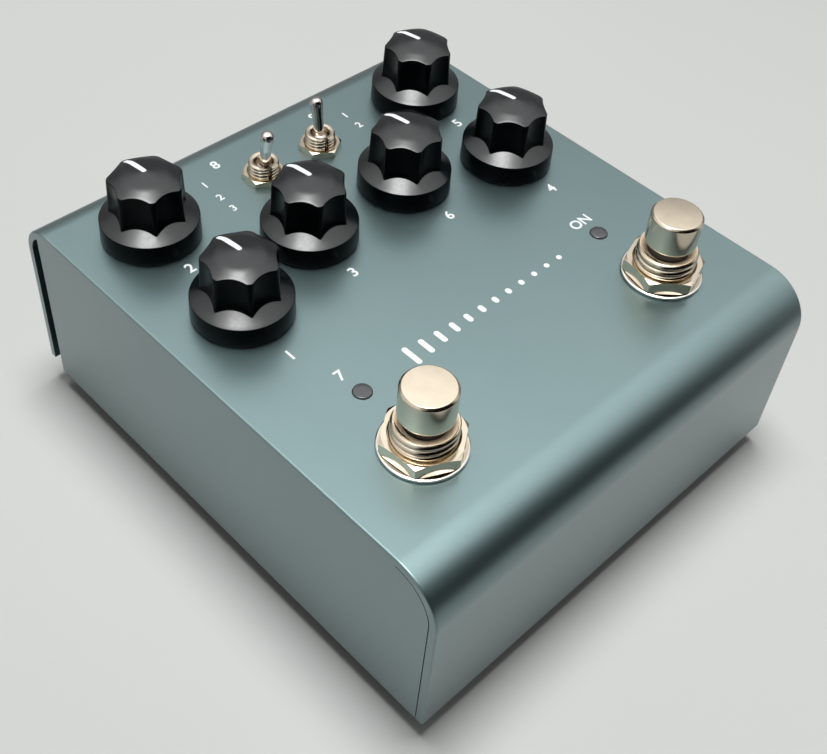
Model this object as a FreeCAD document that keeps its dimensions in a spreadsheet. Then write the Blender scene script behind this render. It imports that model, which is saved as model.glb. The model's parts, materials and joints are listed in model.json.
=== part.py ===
import FreeCAD, Part
import os
import re
import Sketcher

# A compact tape echo pedal. Millimetres, +Z up, X to the right, Y to the rear.
# The origin is on the floor, at the middle of the space that the pedal takes up.

CASING = {
    "casing_width": 101.6,
    "casing_depth": 112.4,
    "casing_height": 39.45,
    "sheet_thickness": 1.6,
    "front_bend_radius": 9.8,
    "rear_bend_radius": 7.2,
    "front_seam": 0.2,
    "rear_seam": 1.9,
    "rear_seam_sweep": 50,
    "rear_edge_lift": 2.0,
    "tab_length": 12.0,
    "tab_width": 10.0,
    "tab_front": 8.0,
    "edge_round": 0.4,
    "cut_past": 1.0,
}
BASE = {
    "foot_height": 5.0,
    "foot_radius": 5.5,
    "foot_taper": 0.8,
    "foot_inset_x": 17.0,
    "foot_inset_y": 11.0,
    "base_thickness": 1.5,
    "base_gap": 0.3,
    "screw_radius": 1.5,
    "screw_clearance": 0.15,
    "screw_length": 8.0,
    "screw_head_radius": 2.8,
    "screw_head_height": 1.3,
    "screw_slot_width": 0.8,
    "screw_slot_depth": 0.6,
    "clinch_nut_radius": 3.0,
    "clinch_nut_height": 2.6,
    "clinch_collar_radius": 2.4,
    "thread_gap": 0.05,
}
LAYOUT = {
    "outer_knob_inset": 15.95,
    "inner_knob_offset": 4.9,
    "rear_knob_inset": 19.0,
    "inner_row_pitch": 19.7,
    "front_row_pitch": 27.3,
    "toggle_x": 7.45,
    "toggle_inset": 19.0,
    "footswitch_inset_x": 18.65,
    "footswitch_inset_y": 22.87,
    "lens_offset_x": 0.49,
    "lens_offset_y": 15.13,
}
KNOB = {
    "knob_lift": 0.4,
    "skirt_radius": 9.5,
    "skirt_draft": 0.12,
    "skirt_height": 4.15,
    "ridge_radius": 7.43,
    "ridge_top_radius": 7.09,
    "ridge_base_height": 5.3,
    "ridge_top_height": 12.65,
    "crown_shoulder_radius": 4.4,
    "crown_shoulder_height": 14.0,
    "crown_height": 14.6,
    "crown_flat_radius": 0.6,
    "flute_count": 7,
    "flute_radius": 5.5,
    "flute_depth": 1.48,
    "knob_recess_radius": 6.6,
    "knob_recess_height": 4.5,
    "knob_bore_depth": 11.0,
    "knob_bore_gap": 0.03,
}
POT = {
    "shaft_radius": 3.0,
    "shaft_gap": 0.05,
    "pot_thread_radius": 3.5,
    "pot_bushing_height": 4.6,
    "pot_hole_gap": 0.2,
    "pot_width": 9.8,
    "pot_depth": 11.2,
    "pot_cavity_radius": 4.0,
    "pot_cavity_height": 4.0,
    "pot_roof": 1.2,
    "shaft_flange_radius": 3.7,
    "shaft_flange_height": 2.0,
    "pot_washer_radius": 5.5,
    "pot_washer_thickness": 0.5,
    "pot_nut_width": 10.0,
    "pot_nut_thickness": 2.0,
}
TOGGLE = {
    "toggle_thread_radius": 3.1,
    "toggle_bushing_height": 3.9,
    "toggle_mouth_radius": 1.9,
    "toggle_hole_gap": 0.15,
    "toggle_nut_width": 7.9,
    "toggle_nut_thickness": 1.4,
    "toggle_width": 7.0,
    "toggle_length": 13.0,
    "toggle_pivot_height": 1.5,
    "toggle_cavity_radius": 2.4,
    "toggle_lip_height": 1.0,
    "toggle_tail_gap": 0.4,
    "lever_ball_radius": 2.05,
    "lever_radius": 1.15,
    "lever_tip_radius": 1.4,
    "lever_tip_length": 3.0,
    "lever_height": 11.5,
    "lever_tail_radius": 0.9,
    "lever_tail_depth": 2.6,
    "lever_tilt": 8.5,
}
FOOTSWITCH = {
    "footswitch_thread_radius": 5.85,
    "footswitch_bushing_height": 6.65,
    "footswitch_dish_radius": 5.3,
    "footswitch_dish_depth": 0.8,
    "footswitch_hole_gap": 0.15,
    "footswitch_body_width": 16.0,
    "footswitch_body_height": 17.0,
    "footswitch_floor": 2.0,
    "footswitch_roof": 2.0,
    "footswitch_cavity_radius": 5.0,
    "footswitch_washer_radius": 7.9,
    "footswitch_washer_thickness": 0.8,
    "footswitch_nut_width": 13.7,
    "footswitch_nut_thickness": 2.65,
    "plunger_radius": 3.8,
    "plunger_gap": 0.06,
    "plunger_flange_radius": 4.6,
    "plunger_flange_height": 2.0,
    "plunger_cap_depth": 4.0,
    "cap_radius": 4.95,
    "cap_height": 6.5,
    "cap_chamfer": 0.45,
    "cap_foot_chamfer": 0.5,
    "button_travel": 1.4,
    "button_spare": 0.2,
    "return_spring_radius": 3.2,
    "return_spring_wire": 0.5,
    "switch_board_gap": 6.8,
    "switch_board_depth": 20.0,
}
LENS = {
    "lens_radius": 1.8,
    "lens_rise": 0.4,
    "lens_gap": 0.05,
    "lens_stem_radius": 1.4,
    "diode_size": 2.0,
    "diode_height": 0.8,
}
BOARD = {
    "board_thickness": 1.6,
    "board_drop": 10.2,
    "board_side_gap": 3.0,
    "board_rear_gap": 1.0,
    "board_switch_gap": 3.9,
    "chip_height": 1.4,
    "processor_size": 16.0,
    "converter_size": 7.0,
    "memory_length": 18.0,
    "memory_width": 8.0,
    "amplifier_length": 6.0,
    "amplifier_width": 5.0,
    "amplifier_pitch": 8.0,
    "capacitor_radius": 3.15,
    "capacitor_height": 5.6,
    "capacitor_pitch": 8.0,
    "capacitor_inset_x": 3.8,
    "capacitor_inset_y": 7.0,
    "processor_x": 14.0,
    "processor_jack_gap": 24.3,
    "converter_x": 32.0,
    "memory_x": -4.0,
    "amplifier_x": -20.0,
    "amplifier_jack_gap": 30.3,
    "ribbon_width": 12.0,
    "ribbon_thickness": 0.9,
    "ribbon_bend_radius": 7.0,
    "ribbon_leg": 5.0,
    "ribbon_lead": 6.9,
}
REAR = {
    "jack_wall_gap": 1.8,
    "jack_data_gap": 3.0,
    "jack_width": 14.0,
    "jack_height": 14.0,
    "jack_depth": 24.0,
    "jack_wall": 2.0,
    "jack_thread_radius": 4.5,
    "jack_thread_proud": 5.5,
    "jack_hole_gap": 0.15,
    "jack_bore_radius": 3.25,
    "jack_washer_radius": 6.6,
    "jack_washer_thickness": 0.8,
    "jack_nut_width": 12.0,
    "jack_nut_thickness": 2.2,
    "power_wall_gap": 4.05,
    "power_width": 9.5,
    "power_height": 11.0,
    "power_depth": 13.0,
    "power_nose_radius": 4.0,
    "power_bore_radius": 2.8,
    "power_bore_depth": 9.5,
    "power_pin_radius": 1.05,
    "data_power_gap": 2.25,
    "data_width": 9.0,
    "data_height": 3.3,
    "data_depth": 7.5,
    "data_wall": 0.35,
    "data_tongue_thickness": 0.7,
    "data_tongue_width": 6.2,
    "data_tongue_recess": 0.8,
    "data_floor": 1.5,
    "data_hole_gap": 0.4,
    "mode_inset": 19.8,
    "mode_width": 8.6,
    "mode_height": 3.6,
    "mode_depth": 4.0,
    "mode_slot_height": 1.6,
    "mode_slot_depth": 2.5,
    "mode_slider_width": 2.0,
    "mode_slider_gap": 0.1,
    "mode_slider_recess": 0.3,
    "mode_hole_gap": 0.3,
    "mode_face_gap": 0.3,
    "mode_travel": 2.0,
}
DERIVED = {
    "rear_proud": "jack_thread_proud",
    "front_y": "-(casing_depth + rear_proud) / 2",
    "rear_y": "front_y + casing_depth",
    "rear_wall_y": "rear_y - sheet_thickness",
    "front_wall_y": "front_y + sheet_thickness",
    "casing_bottom": "foot_height",
    "panel_top": "casing_bottom + casing_height",
    "panel_under": "panel_top - sheet_thickness",
    "wall_x": "casing_width / 2 - sheet_thickness",
    "outer_knob_x": "casing_width / 2 - outer_knob_inset",
    "inner_knob_x": "outer_knob_x / 2 - inner_knob_offset",
    "rear_knob_y": "rear_y - rear_knob_inset",
    "inner_knob_y": "rear_knob_y - inner_row_pitch",
    "front_knob_y": "rear_knob_y - front_row_pitch",
    "toggle_y": "rear_y - toggle_inset",
    "footswitch_x": "casing_width / 2 - footswitch_inset_x",
    "footswitch_y": "front_y + footswitch_inset_y",
    "lens_x": "footswitch_x - lens_offset_x",
    "lens_y": "footswitch_y + lens_offset_y",
    "front_inner_radius": "front_bend_radius - sheet_thickness",
    "rear_inner_radius": "rear_bend_radius - sheet_thickness",
    "tab_under": "casing_bottom + base_thickness",
    "tab_top": "tab_under + sheet_thickness",
    "screw_x": "wall_x - tab_width / 2",
    "foot_x": "wall_x - foot_inset_x",
    "foot_front_y": "front_wall_y + foot_inset_y",
    "foot_rear_y": "rear_wall_y - foot_inset_y",
    "screw_front_y": "front_wall_y + tab_front + tab_length / 2",
    "screw_rear_y": "rear_wall_y - tab_front - tab_length / 2",
    "board_top": "panel_under - board_drop",
    "board_under": "board_top - board_thickness",
    "board_front_y": "footswitch_y + footswitch_body_width / 2 + board_switch_gap",
    "board_rear_y": "rear_wall_y - board_rear_gap",
    "board_width": "2 * (wall_x - board_side_gap)",
    "capacitor_x": "capacitor_inset_x - board_width / 2",
    "capacitor_y": "board_front_y + capacitor_inset_y",
    "jack_front_y": "rear_wall_y - jack_depth",
    "processor_y": "jack_front_y - processor_jack_gap",
    "amplifier_y": "jack_front_y - amplifier_jack_gap",
    "ribbon_y": "footswitch_y + ribbon_lead",
    "jack_first_x": "data_x + data_width / 2 + jack_data_gap + jack_width / 2",
    "jack_last_x": "wall_x - jack_wall_gap - jack_width / 2",
    "jack_pitch": "(jack_last_x - jack_first_x) / 3",
    "jack_z": "board_under - jack_height / 2",
    "jack_bore_depth": "jack_thread_proud + sheet_thickness + jack_depth - jack_wall",
    "power_x": "power_wall_gap + power_width / 2 - wall_x",
    "power_z": "board_under - power_height / 2",
    "data_x": "power_x + power_width / 2 + data_power_gap + data_width / 2",
    "data_z": "board_under - data_height / 2",
    "mode_x": "casing_width / 2 - mode_inset",
    "mode_z": "board_top + mode_height / 2",
    "mode_face_y": "rear_wall_y - mode_face_gap",
    "mode_slot_width": "mode_slider_width + mode_travel + 2 * mode_slider_gap",
    "knob_under": "panel_top + knob_lift",
    "shaft_top": "knob_under + knob_bore_depth",
    "pot_cavity_top": "panel_under - pot_roof",
    "pot_cavity_floor": "pot_cavity_top - pot_cavity_height",
    "plunger_under": "footswitch_cavity_top - plunger_flange_height",
    "toggle_lip_z": "pivot_z + toggle_lip_height",
    "toggle_floor_z": "pivot_z - lever_ball_radius - lever_tail_depth - toggle_tail_gap",
    "plunger_bore_radius": "plunger_radius + plunger_gap",
    "footswitch_cavity_top": "panel_under - footswitch_roof",
    "footswitch_under": "panel_under - footswitch_body_height",
    "footswitch_floor_top": "footswitch_under + footswitch_floor",
    "bushing_top": "panel_top + footswitch_bushing_height",
    "cap_under": "bushing_top + button_travel + button_spare",
    "pivot_z": "panel_top + toggle_pivot_height",
}
SIZES = {**CASING, **BASE, **LAYOUT, **KNOB, **POT, **TOGGLE, **FOOTSWITCH, **LENS, **BOARD, **REAR}

doc = FreeCAD.newDocument("tape_echo_pedal")
sheet = doc.addObject("Spreadsheet::Sheet", "Sheet")
parts = {}


def fill_sheet():
    """One row for each size: its name, then its number or its formula."""
    rows = {name: str(value) for name, value in SIZES.items()}
    rows.update({name: "=" + text for name, text in DERIVED.items()})
    for row, (name, content) in enumerate(rows.items(), start=1):
        sheet.set(f"A{row}", name)
        sheet.set(f"B{row}", content)
        sheet.setAlias(f"B{row}", name)
    doc.recompute()


def formula(text):
    """The text with each size's name pointed at the sheet."""

    def point(match):
        word = match.group()
        return "Sheet." + word if word in SIZES or word in DERIVED else word

    return re.sub(r"[a-z_]+", point, str(text))


def number(text):
    """What a formula comes to, worked out in a spare cell of the sheet."""
    sheet.set("D1", "=" + str(text))
    sheet.recompute()
    return float(sheet.get("D1"))


def bind(thing, **sizes):
    """Ties each property of the thing to a formula."""
    for name, text in sizes.items():
        thing.setExpression(name, formula(text))
    return thing


def place(thing, x, y, z, turn=None):
    """Puts the thing at formulas for x, y and z, turned first where a turn is given."""
    if turn is not None:
        thing.Placement = FreeCAD.Placement(FreeCAD.Vector(), turn)
    for letter, text in zip("xyz", (x, y, z)):
        thing.setExpression(f".Placement.Base.{letter}", formula(text))
    return thing


UP = None
AMPLIFIER_COUNT = 3
CAPACITOR_COUNT = 4
TOGGLE_NUT_ANGLE = 30
FOOTSWITCH_NUT_ANGLES = (35, 17)
REARWARD = FreeCAD.Rotation(FreeCAD.Vector(1, 0, 0), -90)


def cylinder(name, radius, height, x, y, z, turn=UP):
    """A round bar that starts at x, y, z and runs up, or to the rear where it is turned."""
    return place(bind(doc.addObject("Part::Cylinder", name), Radius=radius, Height=height), x, y, z, turn)


def cone(name, low_radius, high_radius, height, x, y, z):
    """A tapered bar that starts at x, y, z and runs up."""
    thing = doc.addObject("Part::Cone", name)
    return place(bind(thing, Radius1=low_radius, Radius2=high_radius, Height=height), x, y, z)


def ball(name, radius, x, y, z):
    """A ball about x, y, z."""
    return place(bind(doc.addObject("Part::Sphere", name), Radius=radius), x, y, z)


def block(name, width, depth, height, x, y, z):
    """A block centred on x and y that stands on z."""
    thing = bind(doc.addObject("Part::Box", name), Length=width, Width=depth, Height=height)
    return place(thing, f"{x} - ({width}) / 2", f"{y} - ({depth}) / 2", z)


def hexagon(name, width, height, x, y, z, angle=0, turn=UP):
    """A six-sided bar, width across its flats, that starts at x, y, z."""
    thing = doc.addObject("Part::Prism", name)
    thing.Polygon = 6
    spin = FreeCAD.Rotation(FreeCAD.Vector(0, 0, 1), angle)
    turn = spin if turn is UP else turn.multiply(spin)
    return place(bind(thing, Circumradius=f"({width}) / sqrt(3)", Height=height), x, y, z, turn)


def fuse(name, things):
    """The things joined into one shape."""
    thing = doc.addObject("Part::MultiFuse", name)
    thing.Shapes = things
    return thing


def cut(name, base, tools):
    """The base with the tools taken away."""
    thing = doc.addObject("Part::Cut", name)
    thing.Base = base
    thing.Tool = tools[0] if len(tools) == 1 else fuse(name + "_cuts", tools)
    return thing


def common(name, things):
    """What the things share."""
    thing = doc.addObject("Part::MultiCommon", name)
    thing.Shapes = things
    return thing


def group(name, things):
    """Several separate solids kept as one sub-part."""
    thing = doc.addObject("Part::Compound", name)
    thing.Links = things
    return thing


def keep(node, thing):
    """Names a finished sub-part."""
    thing.Label = node
    parts[node] = thing
    return thing


def body_plane(body, role):
    """The body's own origin plane or axis with that role."""
    return next(feature for feature in body.Origin.OriginFeatures if feature.Role == role)


def sketch_on(body, name, role, lift=0):
    """An empty sketch on one of the body's origin planes, lifted along its normal by a formula."""
    sketch = body.newObject("Sketcher::SketchObject", name)
    sketch.AttachmentSupport = [(body_plane(body, role), "")]
    sketch.MapMode = "FlatFace"
    if lift:
        sketch.setExpression(".AttachmentOffset.Base.z", formula(lift))
    return sketch


def fix_point(sketch, geometry, end, across, along):
    """Holds one end of a line or arc at formulas for its two coordinates."""
    for kind, text in (("DistanceX", across), ("DistanceY", along)):
        index = sketch.addConstraint(Sketcher.Constraint(kind, -1, 1, geometry, end, number(text)))
        sketch.setExpression(f"Constraints[{index}]", formula(text))


def fix_radius(sketch, geometry, radius):
    """Holds the radius of an arc or circle at a formula."""
    index = sketch.addConstraint(Sketcher.Constraint("Radius", geometry, number(radius)))
    sketch.setExpression(f"Constraints[{index}]", formula(radius))


def outline(sketch, corners):
    """A closed outline, drawn anticlockwise. Each corner is (across, along). A third entry is the
    radius of the short arc that leaves it in place of a straight line, and a fourth entry, True,
    says that this arc bends inwards."""
    points = [FreeCAD.Vector(number(corner[0]), number(corner[1]), 0) for corner in corners]
    first = sketch.GeometryCount
    count = len(points)
    for index, corner in enumerate(corners):
        start, end = points[index], points[(index + 1) % count]
        if len(corner) == 2:
            sketch.addGeometry(Part.LineSegment(start, end))
            continue
        chord = end - start
        radius = number(corner[2])
        bulge = radius - max(radius ** 2 - (chord.Length / 2) ** 2, 0) ** 0.5
        bulge = -bulge if len(corner) == 4 else bulge
        side = FreeCAD.Vector(chord.y, -chord.x, 0).normalize()
        sketch.addGeometry(Part.Arc(start, (start + end) * 0.5 + side * bulge, end))
    for index, corner in enumerate(corners):
        edge = first + index
        after = (index + 1) % count
        leave = 1 if len(corner) == 4 else 2
        enter = 2 if len(corners[after]) == 4 else 1
        sketch.addConstraint(Sketcher.Constraint("Coincident", edge, leave, first + after, enter))
        fix_point(sketch, edge, 3 - leave, corner[0], corner[1])
        if len(corner) > 2:
            fix_radius(sketch, edge, corner[2])
    return sketch


def rectangle(sketch, left, right, low, high):
    """A closed rectangle between formulas for its four sides."""
    return outline(sketch, [(left, low), (right, low), (right, high), (left, high)])


def round_ended(sketch, across, along, width, height):
    """A closed slot outline with half-round ends about formulas for its middle."""
    radius = f"({height}) / 2"
    left = f"{across} - ({width}) / 2 + {radius}"
    right = f"{across} + ({width}) / 2 - {radius}"
    low = f"{along} - {radius}"
    high = f"{along} + {radius}"
    return outline(sketch, [
        (left, low),
        (right, low, radius),
        (f"{right} + {radius}", along, radius),
        (right, high),
        (left, high, radius),
        (f"{left} - {radius}", along, radius),
    ])


def circle(sketch, across, along, radius):
    """A circle about formulas for its centre."""
    centre = FreeCAD.Vector(number(across), number(along), 0)
    edge = sketch.addGeometry(Part.Circle(centre, FreeCAD.Vector(0, 0, 1), number(radius)))
    fix_point(sketch, edge, 3, across, along)
    fix_radius(sketch, edge, radius)
    return sketch


def feature(body, kind, name, sketch, **sizes):
    """A feature of the body made from a sketch, with its sizes tied to formulas."""
    thing = body.newObject("PartDesign::" + kind, name)
    thing.Profile = sketch
    return bind(thing, **sizes)


def swept_both_ways(thing):
    """Runs a pad or pocket the same way to both sides of its sketch."""
    thing.SideType = "Symmetric"
    return thing


def turned_body(name, corners):
    """A body made by turning a half section about Z. The corners are (radius, height)."""
    body = doc.addObject("PartDesign::Body", name)
    section = outline(sketch_on(body, name + "_section", "XZ_Plane"), corners)
    turn = feature(body, "Revolution", name + "_turn", section)
    turn.ReferenceAxis = (section, ["V_Axis"])
    turn.Angle = 360
    return body


def both_sides(x):
    """The formula for x on the left, then on the right."""
    return (f"-({x})", x)


def casing():
    """The folded sheet: panel, front, rear and side flanges in one piece, open at the bottom."""
    body = doc.addObject("PartDesign::Body", "casing")
    outer = sketch_on(body, "casing_outer", "YZ_Plane")
    outline(outer, [
        ("front_y", "casing_bottom"),
        ("rear_y", "casing_bottom"),
        ("rear_y", "panel_top - rear_bend_radius", "rear_bend_radius"),
        ("rear_y - rear_bend_radius", "panel_top"),
        ("front_y + front_bend_radius", "panel_top", "front_bend_radius"),
        ("front_y", "panel_top - front_bend_radius"),
    ])
    blank = swept_both_ways(feature(body, "Pad", "casing_block", outer, Length="casing_width"))
    doc.recompute()
    rim = body.newObject("PartDesign::Fillet", "casing_side_edges")
    rim.Base = (blank, side_edges(blank.Shape))
    bind(rim, Radius="edge_round")

    inner = sketch_on(body, "casing_inner", "YZ_Plane")
    outline(inner, [
        ("front_wall_y", "0"),
        ("rear_wall_y", "0"),
        ("rear_wall_y", "panel_top - rear_bend_radius", "rear_inner_radius"),
        ("rear_y - rear_bend_radius", "panel_under"),
        ("front_y + front_bend_radius", "panel_under", "front_inner_radius"),
        ("front_wall_y", "panel_top - front_bend_radius"),
    ])
    swept_both_ways(feature(body, "Pocket", "casing_inside", inner, Length="2 * wall_x"))

    middle = ("rear_y - rear_bend_radius", "panel_top - rear_bend_radius")
    seam_inner_radius = "rear_inner_radius - rear_seam"
    seam_middle_radius = "(rear_inner_radius - rear_seam / 2)"
    seam = sketch_on(body, "casing_rear_seam", "YZ_Plane")
    outline(seam, [
        ("rear_wall_y - rear_seam", "0"),
        ("rear_wall_y", "0"),
        ("rear_wall_y", middle[1], "rear_inner_radius"),
        (*swung(middle, "rear_inner_radius"), "rear_seam / 2"),
        (*swung(middle, seam_middle_radius, "rear_seam / 2"), "rear_seam / 2"),
        (*swung(middle, f"({seam_inner_radius})"), seam_inner_radius, True),
        ("rear_wall_y - rear_seam", middle[1]),
    ])
    swept_both_ways(feature(body, "Pocket", "casing_rear_slit", seam, Length="2 * casing_width"))
    lift = sketch_on(body, "casing_rear_lift", "YZ_Plane")
    rectangle(
        lift, "rear_wall_y - rear_seam / 2", "rear_y + cut_past", "0", "casing_bottom + rear_edge_lift"
    )
    swept_both_ways(feature(body, "Pocket", "casing_rear_edge", lift, Length="2 * casing_width"))
    seam = sketch_on(body, "casing_front_seam", "YZ_Plane")
    outline(seam, [
        ("front_wall_y", "0"),
        ("front_wall_y + front_seam", "0"),
        (
            "front_wall_y + front_seam", "panel_top - front_bend_radius",
            "front_inner_radius - front_seam", True
        ),
        ("front_y + front_bend_radius", "panel_under - front_seam"),
        ("front_y + front_bend_radius", "panel_under", "front_inner_radius"),
        ("front_wall_y", "panel_top - front_bend_radius"),
    ])
    swept_both_ways(feature(body, "Pocket", "casing_front_slit", seam, Length="2 * casing_width"))

    tabs = sketch_on(body, "casing_tab_outline", "XY_Plane", "tab_under")
    for x, y in corner_places("wall_x - tab_width / 2", "screw_front_y", "screw_rear_y"):
        rectangle(
            tabs,
            f"{x} - tab_width / 2 - sheet_thickness / 4",
            f"{x} + tab_width / 2 + sheet_thickness / 4",
            f"{y} - tab_length / 2",
            f"{y} + tab_length / 2",
        )
    feature(body, "Pad", "casing_tabs", tabs, Length="sheet_thickness")
    tab_holes = sketch_on(body, "casing_tab_holes", "XY_Plane", "tab_under")
    for x, y in corner_places("screw_x", "screw_front_y", "screw_rear_y"):
        circle(tab_holes, x, y, "clinch_collar_radius")
    holes = feature(body, "Pocket", "casing_tab_bores", tab_holes, Length="sheet_thickness")
    holes.Reversed = True

    panel = sketch_on(body, "casing_panel_holes", "XY_Plane", "panel_under")
    for x, y in knob_places():
        circle(panel, x, y, "pot_thread_radius + pot_hole_gap")
    for x in both_sides("toggle_x"):
        circle(panel, x, "toggle_y", "toggle_thread_radius + toggle_hole_gap")
    for x in both_sides("footswitch_x"):
        circle(panel, x, "footswitch_y", "footswitch_thread_radius + footswitch_hole_gap")
    for x in both_sides("lens_x"):
        circle(panel, x, "lens_y", "lens_radius + lens_gap")
    holes = feature(body, "Pocket", "casing_panel_bores", panel, Length="sheet_thickness")
    holes.Reversed = True

    rear = sketch_on(body, "casing_rear_holes", "XZ_Plane", "-rear_wall_y")
    for name, x in jack_places():
        circle(rear, x, "jack_z", "jack_thread_radius + jack_hole_gap")
    circle(rear, "power_x", "power_z", "power_nose_radius + jack_hole_gap")
    round_ended(
        rear, "data_x", "data_z", "data_width + 2 * data_hole_gap", "data_height + 2 * data_hole_gap"
    )
    rectangle(
        rear,
        "mode_x - mode_slot_width / 2 - mode_hole_gap",
        "mode_x + mode_slot_width / 2 + mode_hole_gap",
        "mode_z - mode_slot_height / 2 - mode_hole_gap",
        "mode_z + mode_slot_height / 2 + mode_hole_gap",
    )
    feature(body, "Pocket", "casing_rear_bores", rear, Length="sheet_thickness")
    return keep("casing", body)


def swung(middle, radius, ahead="0"):
    """The point at that radius from the middle, swung up from the rear, and a length ahead of it."""
    return (
        f"{middle[0]} + {radius} * cos(rear_seam_sweep) - {ahead} * sin(rear_seam_sweep)",
        f"{middle[1]} + {radius} * sin(rear_seam_sweep) + {ahead} * cos(rear_seam_sweep)",
    )


def side_edges(shape):
    """The names of the edges round the two flat sides, without those at the bottom."""
    half = number("casing_width") / 2
    bottom = number("casing_bottom")
    names = []
    for index, edge in enumerate(shape.Edges, start=1):
        points = [vertex.Point for vertex in edge.Vertexes]
        beside = all(abs(abs(point.x) - half) < 1e-6 for point in points)
        level = all(abs(point.z - bottom) < 1e-6 for point in points)
        if beside and not level and points[0].x * points[-1].x > 0:
            names.append(f"Edge{index}")
    return names


def corner_places(x, front, rear):
    """The four corners' x and y formulas."""
    return [(side, y) for side in both_sides(x) for y in (front, rear)]


def knob_places():
    """The six knobs' x and y formulas, along each side from the front and then the middle pair."""
    places = []
    for side in (0, 1):
        outer = both_sides("outer_knob_x")[side]
        inner = both_sides("inner_knob_x")[side]
        places.append((outer, "front_knob_y"))
        places.append((outer, "rear_knob_y"))
        places.append((inner, "inner_knob_y"))
    return places


def jack_places():
    """Each jack's name and the formula for its x."""
    names = ("expression_jack", "right_output_jack", "left_output_jack", "input_jack")
    return [(name, f"jack_first_x + {index} * jack_pitch") for index, name in enumerate(names)]


def base():
    """The bottom cover with its screws, clinch nuts and feet."""
    places = corner_places("screw_x", "screw_front_y", "screw_rear_y")
    plate = block(
        "base_sheet",
        "2 * (wall_x - base_gap)",
        "casing_depth - 2 * sheet_thickness - 2 * base_gap",
        "base_thickness",
        "0",
        "(front_y + rear_y) / 2",
        "casing_bottom",
    )
    tools, screws, nuts, feet = [], [], [], []
    for index, (x, y) in enumerate(places, start=1):
        tools.append(cylinder(
            f"base_hole_{index}", "screw_radius + screw_clearance", "base_thickness", x, y, "casing_bottom"
        ))
        tools.append(cone(
            f"base_sink_{index}", "screw_head_radius + screw_clearance", "screw_radius + screw_clearance",
            "screw_head_height", x, y, "casing_bottom"
        ))
        head = cone(
            f"screw_head_{index}", "screw_head_radius", "screw_radius", "screw_head_height",
            x, y, "casing_bottom"
        )
        shank = cylinder(f"screw_shank_{index}", "screw_radius", "screw_length", x, y, "casing_bottom")
        slots = [
            block(f"screw_slot_{index}_{turn}", width, depth, "screw_slot_depth", x, y, "casing_bottom")
            for turn, (width, depth) in enumerate(
                (("screw_slot_width", "2 * screw_radius"), ("2 * screw_radius", "screw_slot_width"))
            )
        ]
        screws.append(cut(f"screw_{index}", fuse(f"screw_blank_{index}", [head, shank]), slots))
        ring = fuse(f"nut_blank_{index}", [
            cylinder(f"nut_body_{index}", "clinch_nut_radius", "clinch_nut_height", x, y, "tab_top"),
            cylinder(f"nut_collar_{index}", "clinch_collar_radius", "sheet_thickness", x, y, "tab_under"),
        ])
        bore = cylinder(
            f"nut_bore_{index}", "screw_radius + thread_gap", "sheet_thickness + clinch_nut_height",
            x, y, "tab_under"
        )
        nuts.append(cut(f"clinch_nut_{index}", ring, [bore]))
    for index, (x, y) in enumerate(corner_places("foot_x", "foot_front_y", "foot_rear_y"), start=1):
        feet.append(cone(
            f"foot_{index}", "foot_radius - foot_taper", "foot_radius", "foot_height", x, y, "0"
        ))
    keep("base_plate", cut("base_plate", plate, tools))
    keep("base_screws", group("base_screws", screws))
    keep("clinch_nuts", group("clinch_nuts", nuts))
    keep("rubber_feet", group("rubber_feet", feet))


def ring(name, outer, inner, height, x, y, z, turn=UP):
    """A flat ring, such as a washer."""
    disc = cylinder(name + "_disc", outer, height, x, y, z, turn)
    return cut(name, disc, [cylinder(name + "_bore", inner, height, x, y, z, turn)])


def hex_nut(name, width, thickness, thread_radius, x, y, z, angle=0, turn=UP):
    """A hexagon nut on a thread, with its outer corners chamfered at 30 degrees."""
    blank = hexagon(name + "_blank", width, thickness, x, y, z, angle, turn)
    chamfer = doc.addObject("Part::Cone", name + "_chamfer")
    bind(
        chamfer,
        Radius1=f"({width}) / 2 + ({thickness}) * sqrt(3)",
        Radius2=f"({width}) / 2",
        Height=thickness,
    )
    place(chamfer, x, y, z, turn)
    bore = cylinder(name + "_bore", f"{thread_radius} + thread_gap", thickness, x, y, z, turn)
    return cut(name, common(name + "_body", [blank, chamfer]), [bore])


def pots_and_knobs():
    """Six potentiometers under the panel, each with its shaft, washer, nut and knob."""
    nuts, washers = [], []
    for index, (x, y) in enumerate(knob_places(), start=1):
        housing = block(f"pot_case_{index}", "pot_width", "pot_depth", "board_drop", x, y, "board_top")
        thread = cylinder(
            f"pot_thread_{index}", "pot_thread_radius", "sheet_thickness + pot_bushing_height",
            x, y, "panel_under"
        )
        bore = cylinder(
            f"pot_bore_{index}", "shaft_radius + shaft_gap",
            "sheet_thickness + pot_bushing_height + pot_roof", x, y, "pot_cavity_top"
        )
        cavity = cylinder(
            f"pot_cavity_{index}", "pot_cavity_radius", "pot_cavity_height", x, y, "pot_cavity_floor"
        )
        keep(f"pot_{index}", cut(
            f"pot_{index}", fuse(f"pot_blank_{index}", [housing, thread]), [bore, cavity]
        ))
        stem = cylinder(
            f"shaft_stem_{index}", "shaft_radius", "shaft_top - pot_cavity_floor - shaft_gap",
            x, y, "pot_cavity_floor + shaft_gap"
        )
        wiper = cylinder(
            f"shaft_wiper_{index}", "shaft_flange_radius", "shaft_flange_height",
            x, y, "pot_cavity_floor + shaft_gap"
        )
        keep(f"pot_shaft_{index}", fuse(f"pot_shaft_{index}", [stem, wiper]))
        washers.append(ring(
            f"pot_washer_{index}", "pot_washer_radius", "pot_thread_radius + thread_gap",
            "pot_washer_thickness", x, y, "panel_top"
        ))
        nuts.append(hex_nut(
            f"pot_nut_{index}", "pot_nut_width", "pot_nut_thickness", "pot_thread_radius",
            x, y, "panel_top + pot_washer_thickness"
        ))
        keep(f"knob_{index}", place(knob(f"knob_{index}"), x, y, "knob_under"))
    keep("pot_washers", group("pot_washers", washers))
    keep("pot_nuts", group("pot_nuts", nuts))


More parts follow.
